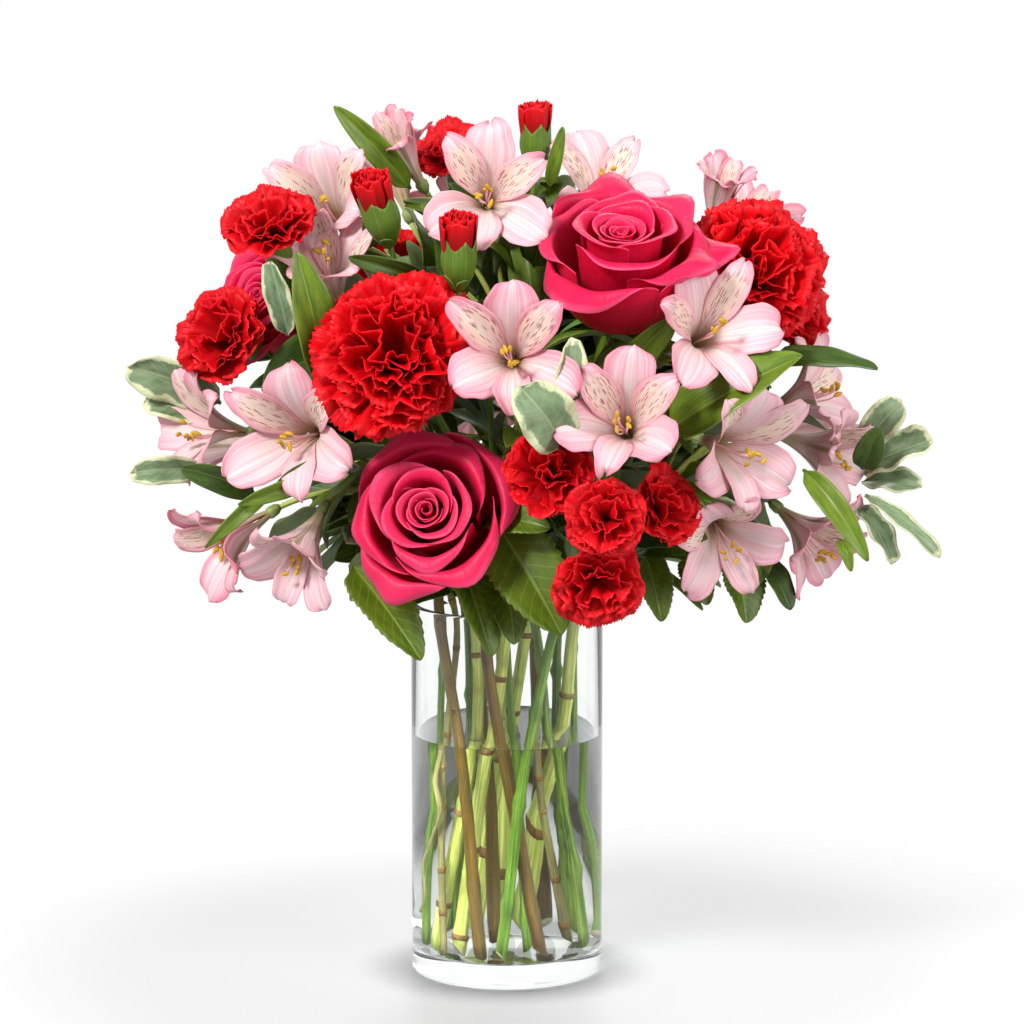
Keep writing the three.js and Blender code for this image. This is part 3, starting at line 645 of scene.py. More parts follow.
def hip_and_sepals(length, rng):
    """The hip is a turned cup; each of five sepals is a thin strip that bends out and down from it."""
    base = -length + 0.5
    cup = turned([(0, base), (3.4, base), (4.4, base + 2), (6.8, base + 5.5), (7.2, base + 9),
                  (5.6, base + 12.5), (3, base + 14), (0, base + 14)], 20)
    rows, columns = 14, 7
    s, t = petal_grid(rows, columns)
    turn = (np.arange(5) * 1.2566 + rng.normal(0, 0.15, 5))[:, None, None]
    lean = rng.uniform(0.5, 1.15, (5, 1, 1))
    out = 6 + 26 * s * np.sin(lean + 0.5 * s)
    rise = base + 11 + 22 * s * np.cos(lean + 0.9 * s)
    wide = (4.2 * (1 - s) ** 0.8 + 0.15) * t
    angle = turn + wide / np.maximum(out, 3)
    points = about_axis(out - 0.04 * wide**2, angle, rise)
    return [cup, {"points": points, "uv": petal_uv(5, rows, columns), "tone": rng.random(5)}]


def petal_shader(tree, colour, roughness, height, strength, velvet, tint, through=0.3):
    """A thin petal: a soft skin with a bloom of fine hairs, through which some of the light passes."""
    bump = node(tree, "ShaderNodeBump", {
        "Height": height, "Strength": strength, "Distance": 0.0005}).outputs[0]
    skin = node(tree, "ShaderNodeBsdfPrincipled", {
        "Base Color": colour, "Roughness": roughness, "Normal": bump, "Sheen Weight": velvet,
        "Sheen Roughness": 0.35, "Sheen Tint": tint, "Specular IOR Level": 0.3})
    glow = node(tree, "ShaderNodeBsdfTranslucent", {"Color": colour, "Normal": bump})
    finish_material(tree, node(tree, "ShaderNodeMixShader", {
        0: through, 1: skin.outputs[0], 2: glow.outputs[0]}).outputs[0])


def own_uv(tree):
    uv = node(tree, "ShaderNodeSeparateXYZ", {0: node(tree, "ShaderNodeTexCoord").outputs["UV"]})
    middle = maths(tree, "ABSOLUTE", maths(tree, "SUBTRACT", uv.outputs[0], 0.5))
    return middle, uv.outputs[1], node(tree, "ShaderNodeAttribute", attribute_name="tone").outputs["Fac"]


def rose_petal_material(name, deep, full, pale):
    """Velvet pink: deepest at the base, as painted shade deep in the bloom, and palest in a thin line at the
    lip and edges, as a painted highlight, with fine veins fanning up.
    """
    material, tree = new_material(name)
    middle, along, tone = own_uv(tree)
    veins = streaks(tree, 34.0, 2.0)
    # Painted shade: the petal darkens to the deep colour towards its base, deep inside the bloom.
    colour = mixed(tree, ramp(tree, along, 0.3, 0.95), deep, full)
    colour = mixed(tree, maths(tree, "MULTIPLY", veins, 0.32), colour, deep)
    # Painted highlight: a thin pale line round the lip and the side edges.
    rim = ramp(tree, maths(tree, "MAXIMUM", along, maths(tree, "MULTIPLY", middle, 1.94)), 0.955, 1.0, 0, 0.7)
    colour = mixed(tree, rim, colour, pale)
    colour = mixed(tree, maths(tree, "MULTIPLY", tone, 0.25), colour, pale)
    petal_shader(tree, colour, 0.44, veins, 0.32, 0.04, (1, 0.35, 0.55, 1), 0.45)
    return material


# Each takes the deep pink of the painted shade at the base, also the veins' colour, the full pink, and  the
# pale pink of the painted highlight at the lip and of the paler petals.
ROSE_PETAL = [
    rose_petal_material("rose_petal_face", (0.6, 0.0004, 0.016), (0.86, 0.002, 0.07), (0.95, 0.1, 0.27)),
    rose_petal_material("rose_petal_back", (0.68, 0.002, 0.035), (0.88, 0.01, 0.11), (0.95, 0.14, 0.33))]
WHORLS = np.concatenate([np.linspace(0.03, 0.27, 8), np.linspace(0.35, 0.64, 6), np.linspace(0.76, 1.0, 6)])


def leafy_material(name, base, light, edge, rib=0.0, roughness=0.4):
    """A leaf's skin: two greens, paler ribs along it, and a coloured edge."""
    material, tree = new_material(name)
    middle, along, tone = own_uv(tree)
    veins = streaks(tree, 18.0, 1.2)
    colour = mixed(tree, veins, base, light)
    colour = mixed(tree, ramp(tree, middle, 0.03, 0.0, 0, rib), colour, edge)
    colour = mixed(tree, ramp(tree, middle, 0.45, 0.5, 0, 0.5), colour, edge)
    colour = mixed(tree, maths(tree, "MULTIPLY", tone, 0.3), colour, light)
    petal_shader(tree, colour, roughness, veins, 0.3, 0.0, (1, 1, 1, 1), 0.15)
    return material


SEPAL_GREEN = leafy_material("sepal_green", (0.06, 0.17, 0.025), (0.13, 0.27, 0.06), (0.2, 0.3, 0.1), 0.5)

for number, (name, (sort, size, at, face, roll)) in enumerate(FLOWERS.items()):
    if sort != "rose":
        continue
    rng = np.random.default_rng(300 + number)
    radius, length = RADIUS["rose"] * size, LENGTH["rose"] * size
    points = rose_petals(radius, length, WHORLS, rng, 1.0 if name == "rose_upper" else 0.5)
    make_piece(name + "_petals", [{
        "points": placed(points, at, face, roll), "uv": petal_uv(len(WHORLS), 24, 27),
        "tone": rng.random(len(WHORLS))}],
        ROSE_PETAL, node_of(name), 0.35, 1)
    parts = hip_and_sepals(length, rng)
    for part in parts:
        part["points"] = placed(part["points"], at, face, roll)
    make_piece(name + "_hip", parts[:1], [SEPAL_GREEN])
    make_piece(name + "_sepals", parts[1:], [SEPAL_GREEN], (), 0.4)


# ---- The carnations -----------------------------------------------------------------------------
# Three large red carnations and eleven spray carnations. Fifty fan-shaped petals, or half as many in a
# spray carnation, ruffled and cut like a saw at their rims, burst from a smooth green tube with five
# teeth.

def ruffled_petals(radius, dome, depth, count, rng, teeth, ruffles):
    """Each petal's middle line is a Bezier curve from the tube's mouth to a point of a dome. The petal
    widens up it, its rim is cut by two triangle waves, and three sines ruffle it along its normal."""
    rows, columns = 12, 37
    s, t = petal_grid(rows, columns)
    f = ((np.arange(count) + 0.5) / count)[:, None, None]
    turn = (np.arange(count) * GOLDEN + rng.normal(0, 0.25, count))[:, None, None]
    lean = np.radians(4 + 98 * f**0.7) + rng.normal(0, 0.12, f.shape)
    size = 1 + rng.normal(0, 0.075, f.shape)
    rim_r, rim_z = radius * np.sin(lean) * size, dome * np.cos(lean) * size
    reach = np.hypot(rim_r, rim_z + depth)
    tip = lean * 0.92 + rng.normal(0, 0.18, f.shape)
    flat = lambda r, z: np.stack(np.broadcast_arrays(r, z), axis=-1)
    controls = np.stack([
        flat(0.04 * radius + 0 * f, -depth + 0 * f), flat(0.08 * radius * (1 + f), -0.45 * depth + 0 * f),
        flat(rim_r - 0.4 * reach * np.sin(tip), rim_z - 0.4 * reach * np.cos(tip)),
        flat(rim_r, rim_z)], axis=-2)[:, 0, 0]
    tooth = np.abs(((t * teeth + rng.random(f.shape)) % 1) * 2 - 1)
    small = np.abs(((t * teeth * 2.3 + rng.random(f.shape)) % 1) * 2 - 1)
    notch = rng.uniform(0.6, 1.5, f.shape) * (0.03 * tooth + 0.018 * small) * np.clip((s - 0.8) / 0.2, 0, 1)
    within = s * (1 - 0.16 * np.abs(t) ** 2.4) - notch
    line = drawn(controls, np.broadcast_to(within, (count, rows, columns)))
    slope = np.gradient(drawn(controls, np.broadcast_to(s, (count, rows, 1)))[:, :, 0], axis=1)
    normal = unit(np.stack([slope[..., 1], -slope[..., 0]], axis=-1))[:, :, None]
    half = radius * (0.42 + 0.2 * f) * s**0.85
    phase = rng.uniform(0, 6.28, (4, *f.shape))
    folds = rng.uniform(1.0, 1.9, f.shape)
    frills = rng.uniform(2.8, 4.4, f.shape)
    ruffle = radius * s**2 * (
        ruffles * np.sin(np.pi * folds * t + phase[0])
        + 0.4 * ruffles * s**2 * np.sin(np.pi * frills * t + phase[1])
        + 0.012 * s**4 * np.sin(np.pi * 9 * t + phase[2]))
    crease = radius * 0.16 * (1 - f) * s * np.abs(t) * np.sin(phase[3])
    line = line + normal * (ruffle + crease)[..., None]
    wide = half * t * (1 - 0.18 * np.abs(np.sin(phase[3])) * (1 - f))
    around = np.stack(np.broadcast_arrays(np.sin(turn), -np.cos(turn), 0 * turn), axis=-1)
    across = np.stack(np.broadcast_arrays(np.cos(turn), np.sin(turn), 0 * turn), axis=-1)
    bowed = line[..., 0] - 0.25 * wide**2 / np.maximum(radius, 1)
    return bowed[..., None] * around + wide[..., None] * across + line[..., 1:] * (0.0, 0.0, 1.0)


def green_tube(base, mouth, narrow, wide, rng, pinch=0.0, lobes=5):
    """A calyx: a turned tube whose open rim rises to pointed lobes, with small scales at its foot."""
    rows, sides = 18, 60
    s = np.linspace(0, 1, rows)[:, None]
    angle = np.linspace(0, 2 * np.pi, sides, endpoint=False)[None]
    lobe = np.abs(((angle * lobes / (2 * np.pi)) % 1) * 2 - 1) ** 1.4
    r = narrow + (wide - narrow) * np.sin(np.pi / 2 * np.clip(s * 1.35, 0, 1)) * (1 - pinch * s**3)
    r = r + 0.9 * lobe * s**6
    r = np.concatenate([0 * angle, r * (1 + 0.012 * np.cos(angle * 15))])
    z = base + (mouth - base) * s + (mouth - base) * 0.24 * lobe * s**5
    z = np.concatenate([base + 0 * angle, z])
    points = np.stack(np.broadcast_arrays(r * np.cos(angle), r * np.sin(angle), z), axis=-1)[None]
    up = np.linspace(0, 1, rows + 1)[:, None]
    uv = np.stack(np.broadcast_arrays((angle * lobes / (2 * np.pi)) % 1, up), axis=-1)[None]
    tube_part = {"points": points, "uv": uv, "closed": True, "tone": rng.random()}
    s, t = petal_grid(8, 9)
    turn = (np.arange(4) * np.pi / 2 + 0.4)[:, None, None]
    level = np.array([0, 1, 0, 1])[:, None, None]
    reach = (mouth - base) * (0.34 + 0.06 * level)
    out = narrow + 0.5 + (wide - narrow) * np.sin(np.pi / 2 * np.clip(s * 0.45, 0, 1)) + 0.25 + 0.3 * level
    scale = about_axis(out, turn + t * 0.85 * np.sqrt(np.clip(1 - s**1.6, 0.002, 1)), base - 0.3 + reach * s)
    return [tube_part, {"points": scale, "uv": petal_uv(4, 8, 9), "tone": rng.random(4)}]


def ruffled_material(name, deep, full, bright):
    """Matte red, finely veined: darker towards the base, as painted shade deep in the flower, and in fine
    streaks, partly its veins and partly painted shade in small folds; brighter at the cut rim, as a
    painted highlight.
    """
    material, tree = new_material(name)
    middle, along, tone = own_uv(tree)
    veins = streaks(tree, 46.0, 2.2)
    # Painted shade: darker towards the base, deep in the flower, and along fine streaks, partly veins and
    # partly painted shade in small folds.
    colour = mixed(tree, ramp(tree, along, 0.35, 0.95), deep, full)
    colour = mixed(tree, maths(tree, "MULTIPLY", veins, 0.35), colour, deep)
    # Painted highlight: a brighter band along the cut rim.
    colour = mixed(tree, ramp(tree, along, 0.95, 1.0, 0, 0.5), colour, bright)
    colour = mixed(tree, maths(tree, "MULTIPLY", tone, 0.35), colour, bright)
    petal_shader(tree, colour, 0.5, veins, 0.35, 0.02, (1, 0.2, 0.2, 1), 0.3)
    return material


# Each takes the dark red of the painted shade, the full red, and the bright red of the rim's painted
# highlight and of the brighter petals.
CARNATION_RED = ruffled_material(
    "carnation_petal", (0.46, 0.0001, 0.001), (0.8, 0.0004, 0.006), (0.9, 0.003, 0.014))
SPRAY_RED = ruffled_material("spray_petal", (0.36, 0.0001, 0.001), (0.74, 0.0004, 0.006), (0.9, 0.004, 0.016))
CALYX_GREEN = leafy_material(
    "calyx_green", (0.06, 0.13, 0.01), (0.13, 0.22, 0.025), (0.32, 0.35, 0.12), 0.0, 0.35)

for number, (name, (sort, size, at, face, roll)) in enumerate(FLOWERS.items()):
    if sort not in ("carnation", "spray"):
        continue
    rng = np.random.default_rng(500 + number)
    radius, length = RADIUS[sort] * size, LENGTH[sort] * size
    large = sort == "carnation"
    count, dome, mouth = (50, 0.36 * length, 0.4 * length) if large else (25, 0.24 * length, 0.36 * length)
    points = ruffled_petals(radius, dome, mouth, count, rng, 12 if large else 9, 0.13 if large else 0.1)
    make_piece(name + "_petals", [{
        "points": placed(points, at, face, roll), "uv": petal_uv(count, 12, 37), "tone": rng.random(count)}],
        [CARNATION_RED if large else SPRAY_RED], node_of(name), 0.3)
    parts = green_tube(-length + 0.5, -mouth * 0.86, 2.4 if large else 1.9, 8.2 if large else 6.2 * size, rng)
    for part in parts:
        part["points"] = placed(part["points"], at, face, roll)
    make_piece(name + "_calyx", parts, [CALYX_GREEN], (), 0.5)


# ---- The buds -----------------------------------------------------------------------------------
# Three spray carnation buds just breaking: a plump green tube with five pointed teeth, and the furled
# red petals standing out of it in a tight bundle.

def furled_petals(radius, low, high, count, rng):
    """Upright petals round the axis: each at its own radius, with a saw-cut rim and a few long folds."""
    rows, columns = 12, 25
    s, t = petal_grid(rows, columns)
    f = np.linspace(0.1, 1, count)[:, None, None]
    turn = (np.arange(count) * GOLDEN)[:, None, None]
    tooth = np.abs(((t * 5 + rng.random(f.shape)) % 1) * 2 - 1)
    top = high - (high - low) * 0.1 * f + rng.normal(0, 0.5, f.shape)
    cut = 0.07 * tooth * np.clip((s - 0.8) / 0.2, 0, 1)
    rise = low + (top - low) * (s * (1 - 0.14 * np.abs(t) ** 2.2) - cut)
    fold = np.sin(7 * t + rng.uniform(0, 6.28, f.shape)) * s
    out = radius * f * (0.78 + 0.22 * np.sin(np.pi * (0.1 + 0.5 * s))) * (1 + 0.1 * fold)
    return about_axis(out, turn + t * (1.1 - 0.3 * f), rise)


for number, (name, (sort, size, at, face, roll)) in enumerate(FLOWERS.items()):
    if sort != "bud":
        continue
    rng = np.random.default_rng(700 + number)
    length = LENGTH["bud"] * size
    points = furled_petals(9.6 * size, -0.25 * length, 0.66 * length, 16, rng)
    make_piece(name + "_petals", [{
        "points": placed(points, at, face, roll), "uv": petal_uv(16, 12, 25), "tone": rng.random(16)}],
        [SPRAY_RED], (), 0.3)
    parts = green_tube(-length + 0.5, -0.06 * length, 2.2, 9.6 * size, rng, 0.26)
    for part in parts:
        part["points"] = placed(part["points"], at, face, roll)
    make_piece(name + "_calyx", parts, [CALYX_GREEN], [name], 0.5)


# ---- The alstroemeria ---------------------------------------------------------------------------
# Twenty-seven pale pink trumpets on the side stems of five stalks. Each has three broad outer petals and
# three narrower inner ones, of which the upper two carry a yellow patch with maroon dashes. Six curved
# filaments with ochre anthers lean out of the throat, and a green seed case joins it to its stem.

def trumpet_petals(radius, length, turns, half, fullest, blunt, forward, rng):
    """Each petal's middle line is a Bezier curve up the throat and out to the rim. Its half width is
    half times a smooth step up to its fullest place and a rounded fall from there to the tip. It is
    channelled low down, flat above, and a slow wave runs round its edge."""
    rows, columns = 28, 17
    s, t = petal_grid(rows, columns)
    count = len(turns)
    turn = (np.radians(turns) + rng.normal(0, 0.11, count))[:, None, None]
    held = forward + rng.normal(0, 0.05, (count, 1, 1))
    reach = radius * (1.16 - 0.38 * held) * (1 + rng.normal(0, 0.06, (count, 1, 1)))
    high = length * (0.02 + 0.5 * held)
    curl = length * rng.uniform(-0.04, 0.2, (count, 1, 1))
    ones = np.ones_like(held)
    pair = lambda r, z: np.stack([r * ones, z * ones], axis=-1)
    controls = np.stack([
        pair(1.6, -length), pair(3.4, -0.66 * length), pair(0.2 * radius, -0.28 * length),
        pair(0.62 * reach, high - 0.08 * length), pair(0.9 * reach, high + 0.04 * length),
        pair(reach, high - curl)], axis=-2)[:, 0, 0]
    line = drawn(controls, np.broadcast_to(s, (count, rows, 1)))[:, :, 0]
    slope = unit(np.gradient(line, axis=1))
    inward = np.stack([-slope[..., 1], slope[..., 0]], axis=-1)[:, :, None]
    rise = np.clip((s - 0.12) / (fullest - 0.12), 0, 1)
    fall = np.clip((s - fullest) / (1 - fullest), 0, 1)
    wide = 1.5 + (half - 1.5) * (3 * rise**2 - 2 * rise**3) * np.clip(1 - fall**blunt, 0.001, 1) ** 0.8
    phase = rng.uniform(0, 6.28, (3, count, 1, 1))
    wide = wide * (1 + 0.05 * s * np.sin(13 * s + 2 * t + phase[2]) + 0.03 * s * np.sin(34 * s + phase[0]))
    lift = wide * t**2 * (0.5 * (1 - s) ** 1.3 + 0.02) - 0.55 * np.exp(-((t / 0.1) ** 2)) * s * (1 - 0.5 * s)
    wave = 1.7 * np.sin(11 * s + phase[0]) * np.sign(t) + 1.9 * np.sin(9 * s + phase[1])
    lift = lift + s**2 * np.abs(t) ** 1.5 * wave
    lift = lift + 0.9 * s**2 * np.sin(3 * t + phase[2]) + 0.3 * s**2 * np.sin(9 * t + phase[0])
    line = line[:, :, None] + inward * lift[..., None]
    away = np.stack(np.broadcast_arrays(np.sin(turn), np.cos(turn), 0 * turn), axis=-1)
    across = np.stack(np.broadcast_arrays(np.cos(turn), -np.sin(turn), 0 * turn), axis=-1)
    return line[..., :1] * away + (wide * t)[..., None] * across + line[..., 1:] * (0.0, 0.0, 1.0)


def stamens(length, rng):
    """Filaments run up the throat and droop, each ending in an anther, a short fat grain set across it."""
    threads, grains = [], []
    for number in range(6):
        a = rng.uniform(0, 6.28)
        end = np.array([4.2 * np.cos(a), -3.5 + 3.6 * np.sin(a), rng.uniform(-0.08, 0.2) * length])
        controls = np.array([[0, 0, -0.85 * length], [0, -1, -0.4 * length],
                             [end[0] * 0.7, end[1] - 2.5, end[2] - 8], end + (0, 0.6, 0)])
        path = drawn(controls, np.linspace(0, 1, 12)[:, None])[:, 0]
        threads.append(tube(path, np.linspace(0.55, 0.36, 12), 6, 0.0, rng.random()))
        lie = unit(rng.normal(size=3) + (0, 0.4, 0.6)) * rng.uniform(2.2, 3.1)
        s = np.linspace(-1, 1, 9)
        grain = path[-1] + s[:, None] * lie + (0, 0, 0.4)
        grains.append(tube(grain, 1.15 * np.sqrt(1.02 - s**2), 8, 0.0, rng.random(), 1))
    return threads + grains


def lily_material(name, spots, back):
    """Pale pink satin: cream at the throat with painted shade of dull ochre deep in it, pinker at its edges
    and tip, with fine darker veins. Spots puts in a yellow patch with maroon dashes, and back a green and
    brown stripe down the middle."""
    material, tree = new_material(name)
    middle, along, tone = own_uv(tree)
    veins = streaks(tree, 20.0, 0.9)
    colour = mixed(tree, ramp(tree, along, 0.25, 0.75), (0.94, 0.87, 0.8), (0.94, 0.72, 0.75))
    pink = maths(tree, "ADD", ramp(tree, middle, 0.2, 0.5, 0, 0.42), ramp(tree, along, 0.6, 1.0, 0, 0.45))
    pink = maths(tree, "MULTIPLY_ADD", veins, 0.3, pink)
    pink = maths(tree, "MULTIPLY", pink, maths(tree, "MULTIPLY_ADD", tone, 1.0, 0.25))
    pink = node(tree, "ShaderNodeClamp", {0: pink}).outputs[0]
    colour = mixed(tree, pink, colour, (0.82, 0.24, 0.34))
    colour = mixed(tree, ramp(tree, middle, 0.12, 0.0, 0, 0.6), colour, (0.94, 0.86, 0.84))
    colour = mixed(tree, maths(tree, "MULTIPLY", veins, 0.28), colour, (0.72, 0.25, 0.36))
    # Painted shade: the petal's foot, deep in the throat, darkens to a dull ochre.
    colour = mixed(tree, ramp(tree, along, 0.4, 0.16, 0, 0.65), colour, (0.5, 0.3, 0.1))
    if spots:
        patch = maths(tree, "MULTIPLY", ramp(tree, along, 0.3, 0.48), ramp(tree, along, 0.84, 0.66))
        patch = maths(tree, "MULTIPLY", patch, ramp(tree, middle, 0.46, 0.26))
        colour = mixed(tree, maths(tree, "MULTIPLY", patch, 0.45), colour, (0.94, 0.86, 0.6))
        uv = node(tree, "ShaderNodeTexCoord").outputs["UV"]
        shift = node(tree, "ShaderNodeCombineXYZ", {2: maths(tree, "MULTIPLY", tone, 30.0)}).outputs[0]
        grid = node(tree, "ShaderNodeMapping", {"Vector": uv, "Location": shift, "Scale": (32.0, 9.0, 1.0)})
        cell = node(tree, "ShaderNodeTexVoronoi", {
            "Vector": grid.outputs[0], "Scale": 1.0, "Randomness": 0.8})
        drawn_lot = node(tree, "ShaderNodeSeparateColor", {0: cell.outputs["Color"]}).outputs[0]
        picked = ramp(tree, drawn_lot, 0.3, 0.35)
        dash = maths(tree, "MULTIPLY", ramp(tree, cell.outputs["Distance"], 0.38, 0.27), picked)
        wide = maths(tree, "MULTIPLY", ramp(tree, along, 0.2, 0.32), ramp(tree, along, 0.86, 0.7))
        wide = maths(tree, "MULTIPLY", wide, ramp(tree, middle, 0.45, 0.36))
        colour = mixed(tree, maths(tree, "MULTIPLY", dash, wide), colour, (0.3, 0.008, 0.045))
    if back:
        stripe = ramp(tree, middle, 0.14, 0.03)
        stripe = maths(tree, "MULTIPLY", stripe, ramp(tree, along, 0.2, 0.5, 0.5, 1.0))
        green = mixed(tree, veins, (0.2, 0.26, 0.05), (0.36, 0.16, 0.08))
        colour = mixed(tree, maths(tree, "MULTIPLY", stripe, 0.75), colour, green)
        colour = mixed(tree, ramp(tree, along, 0.3, 0.05, 0, 0.6), colour, (0.42, 0.5, 0.2))
    colour = mixed(tree, maths(tree, "MULTIPLY", ramp(tree, along, 0.965, 1.0), ramp(tree, middle, 0.3, 0.1)),
                   colour, (0.35, 0.3, 0.1))
    petal_shader(tree, colour, 0.42, veins, 0.3, 0.12, (1, 0.8, 0.85, 1), 0.32)
    return material


OUTER_FACE = lily_material("lily_outer_face", False, False)
OUTER_BACK = lily_material("lily_outer_back", False, True)
INNER_FACE = lily_material("lily_inner_face", True, False)
filament, tree = new_material("filament")
fine = streaks(tree, 8.0, 3.0)
pink = mixed(tree, fine, (0.85, 0.45, 0.5), (0.9, 0.68, 0.6))
petal_shader(tree, pink, 0.4, fine, 0.1, 0.0, (1, 1, 1, 1), 0.2)
anther, tree = new_material("anther")
place = node(tree, "ShaderNodeTexCoord").outputs["Object"]
dust = node(tree, "ShaderNodeTexNoise", {"Vector": place, "Scale": 1500.0, "Detail": 2.0}).outputs["Fac"]
ochre = mixed(tree, dust, (0.42, 0.2, 0.015), (0.72, 0.45, 0.05))
petal_shader(tree, ochre, 0.8, dust, 0.6, 0.0, (1, 1, 1, 1), 0.1)
SEED_CASE = leafy_material("seed_case", (0.16, 0.26, 0.05), (0.3, 0.38, 0.12), (0.4, 0.3, 0.14), 0.2)

for number, (name, (sort, size, at, face, roll)) in enumerate(FLOWERS.items()):
    if sort != "lily":
        continue
    rng = np.random.default_rng(900 + number)
    radius, length = RADIUS["lily"] * size, LENGTH["lily"] * size
    open_ = 1.15 if "shut" in name else rng.uniform(0.0, 0.5)
    outer = trumpet_petals(radius, length, [0, 120, 240], 13.4 * size, 0.6, 2.1, open_ + 0.02, rng)
    upper = trumpet_petals(radius * 1.02, length, [50, 310], 9.4 * size, 0.56, 1.6, open_ + 0.13, rng)
    lower = trumpet_petals(radius * 0.98, length, [180], 9.2 * size, 0.58, 1.6, open_ + 0.1, rng)
    blush = rng.uniform(0, 0.75)
    sheets = [{"points": placed(points, at, face, roll), "uv": petal_uv(len(points), 28, 17),
               "tone": blush + 0.25 * rng.random(len(points)), "material": kind}
              for points, kind in ((outer, 0), (upper, 2), (lower, 0))]
    make_piece(name + "_petals", sheets, [OUTER_FACE, OUTER_BACK, INNER_FACE, OUTER_BACK],
               node_of(name), 0.35, 1)
    parts = stamens(length, rng)
    case = turned([(0, -length - 4), (1.5, -length - 4), (3.1, -length - 1), (3.4, -length + 2.5),
                   (2.2, -length + 5), (0, -length + 5)], 24)
    case["points"] = case["points"] * (1 + 0.07 * np.cos(6 * np.linspace(0, 2 * np.pi, 24, endpoint=False)))[
        None, None, :, None] ** np.array([1, 1, 0])
    case["material"] = 2
    for part in parts + [case]:
        part["points"] = placed(part["points"], at, face, roll)
    make_piece(name + "_stamens", parts + [case], [filament, anther, SEED_CASE])


# ---- The leaves ---------------------------------------------------------------------------------
# Rose leaves are ovals with saw-cut edges, alstroemeria leaves long blades with parallel ribs, carnation
# leaves narrow grey-green straps in pairs, and the pittosporum's small and waved with cream margins.

def blades(specs, fullest, sharp, rng, rows=24, columns=11, teeth=0, towards=(0.02, 0.03, 1.0)):
    """Leaves from a base to a tip: along the straight line between them, lifted by bend times 4 s (1 - s),
    as wide as [(s / p)^p ((1 - s) / (1 - p))^(1 - p)]^k with p the fullest place and k how sharp its ends
    are, folded up along the rib, waved at the edge, and rolled and twisted about its length. Its face looks
    towards the given direction before it is rolled."""
    base, tip, half, roll, bend, wave = [np.array(values, float)[:, None, None] for values in zip(*specs)]
    s, t = petal_grid(rows, columns)
    chord = tip - base
    size = np.linalg.norm(chord, axis=-1)
    ahead = chord / size[..., None]
    side = unit(np.cross(ahead, np.array(towards)))
    up = np.cross(side, ahead)
    shape = ((s / fullest) ** fullest * ((1 - s) / (1 - fullest)) ** (1 - fullest)) ** sharp
    if teeth:
        shape = shape * (1 + 0.11 * ((s * teeth) % 1 - 0.5) * np.clip(s * 8, 0, 1))
    wide = 0.7 + (half - 0.7) * shape * np.clip((s - 0.02) * 12, 0, 1)
    phase = rng.uniform(0, 6.28, (2, len(specs), 1, 1))
    angle = np.radians(roll) + 0.5 * s * np.sin(phase[0])
    cross = np.cos(angle)[..., None] * side + np.sin(angle)[..., None] * up
    above = np.cos(angle)[..., None] * up - np.sin(angle)[..., None] * side
    ripple = wave * half * 0.16 * np.abs(t) ** 1.6 * np.sin(15 * s + phase[1] + 1.3 * np.sign(t))
    lift = np.abs(t) * wide * 0.3 - 0.35 * np.exp(-((t / 0.12) ** 2)) + ripple
    middle = base + chord * s[..., None] + up * (bend * size * 4 * s * (1 - s))[..., None]
    points = middle + cross * (wide * t * 0.95)[..., None] + above * lift[..., None]
    return {"points": points, "uv": petal_uv(len(specs), rows, columns), "tone": rng.random(len(specs))}


def leaf_material(name, base, light, edge, rib, kind, back=0.0, roughness=0.36):
    """A leaf's skin. Kind is "ribbed", with long parallel veins, "feathered", with side veins that slant up
    from the rib, or "margined", feathered with an uneven band of the edge colour round its margin."""
    material, tree = new_material(name)
    middle, along, tone = own_uv(tree)
    if kind == "ribbed":
        wave = maths(tree, "SINE", maths(tree, "MULTIPLY", middle, 110.0))
        veins = ramp(tree, wave, 0.55, 1.0)
    else:
        slant = maths(tree, "MULTIPLY_ADD", middle, -26.0, maths(tree, "MULTIPLY", along, 56.0))
        veins = ramp(tree, maths(tree, "SINE", slant), 0.86, 1.0)
    cloudy = streaks(tree, 5.0, 4.0)
    colour = mixed(tree, cloudy, base, light)
    if kind == "margined":
        place = node(tree, "ShaderNodeTexCoord").outputs["Object"]
        cloud = node(tree, "ShaderNodeTexNoise", {
            "Vector": place, "Scale": 160.0, "Detail": 2.0}).outputs["Fac"]
        border = maths(tree, "MULTIPLY_ADD", cloud, -0.3, maths(tree, "MAXIMUM", middle, maths(
            tree, "MULTIPLY_ADD", along, 1.4, -0.95)))
        colour = mixed(tree, ramp(tree, border, 0.2, 0.26), colour, edge)
    else:
        colour = mixed(tree, ramp(tree, middle, 0.46, 0.5, 0, 0.7), colour, edge)
    colour = mixed(tree, maths(tree, "MULTIPLY", veins, 0.4), colour, rib)
    colour = mixed(tree, ramp(tree, middle, 0.035, 0.01, 0, 0.85), colour, rib)
    colour = mixed(tree, maths(tree, "MULTIPLY", tone, 0.35), colour, light)
    colour = mixed(tree, back, colour, (0.34, 0.42, 0.24))
    petal_shader(tree, colour, roughness, veins, -0.5, 0.0, (1, 1, 1, 1), 0.18)
    return material


def leaf_pair(name, *values, roughness=0.36):
    return [leaf_material(name + "_face", *values, roughness=roughness),
            leaf_material(name + "_back", *values, back=0.45, roughness=0.6)]


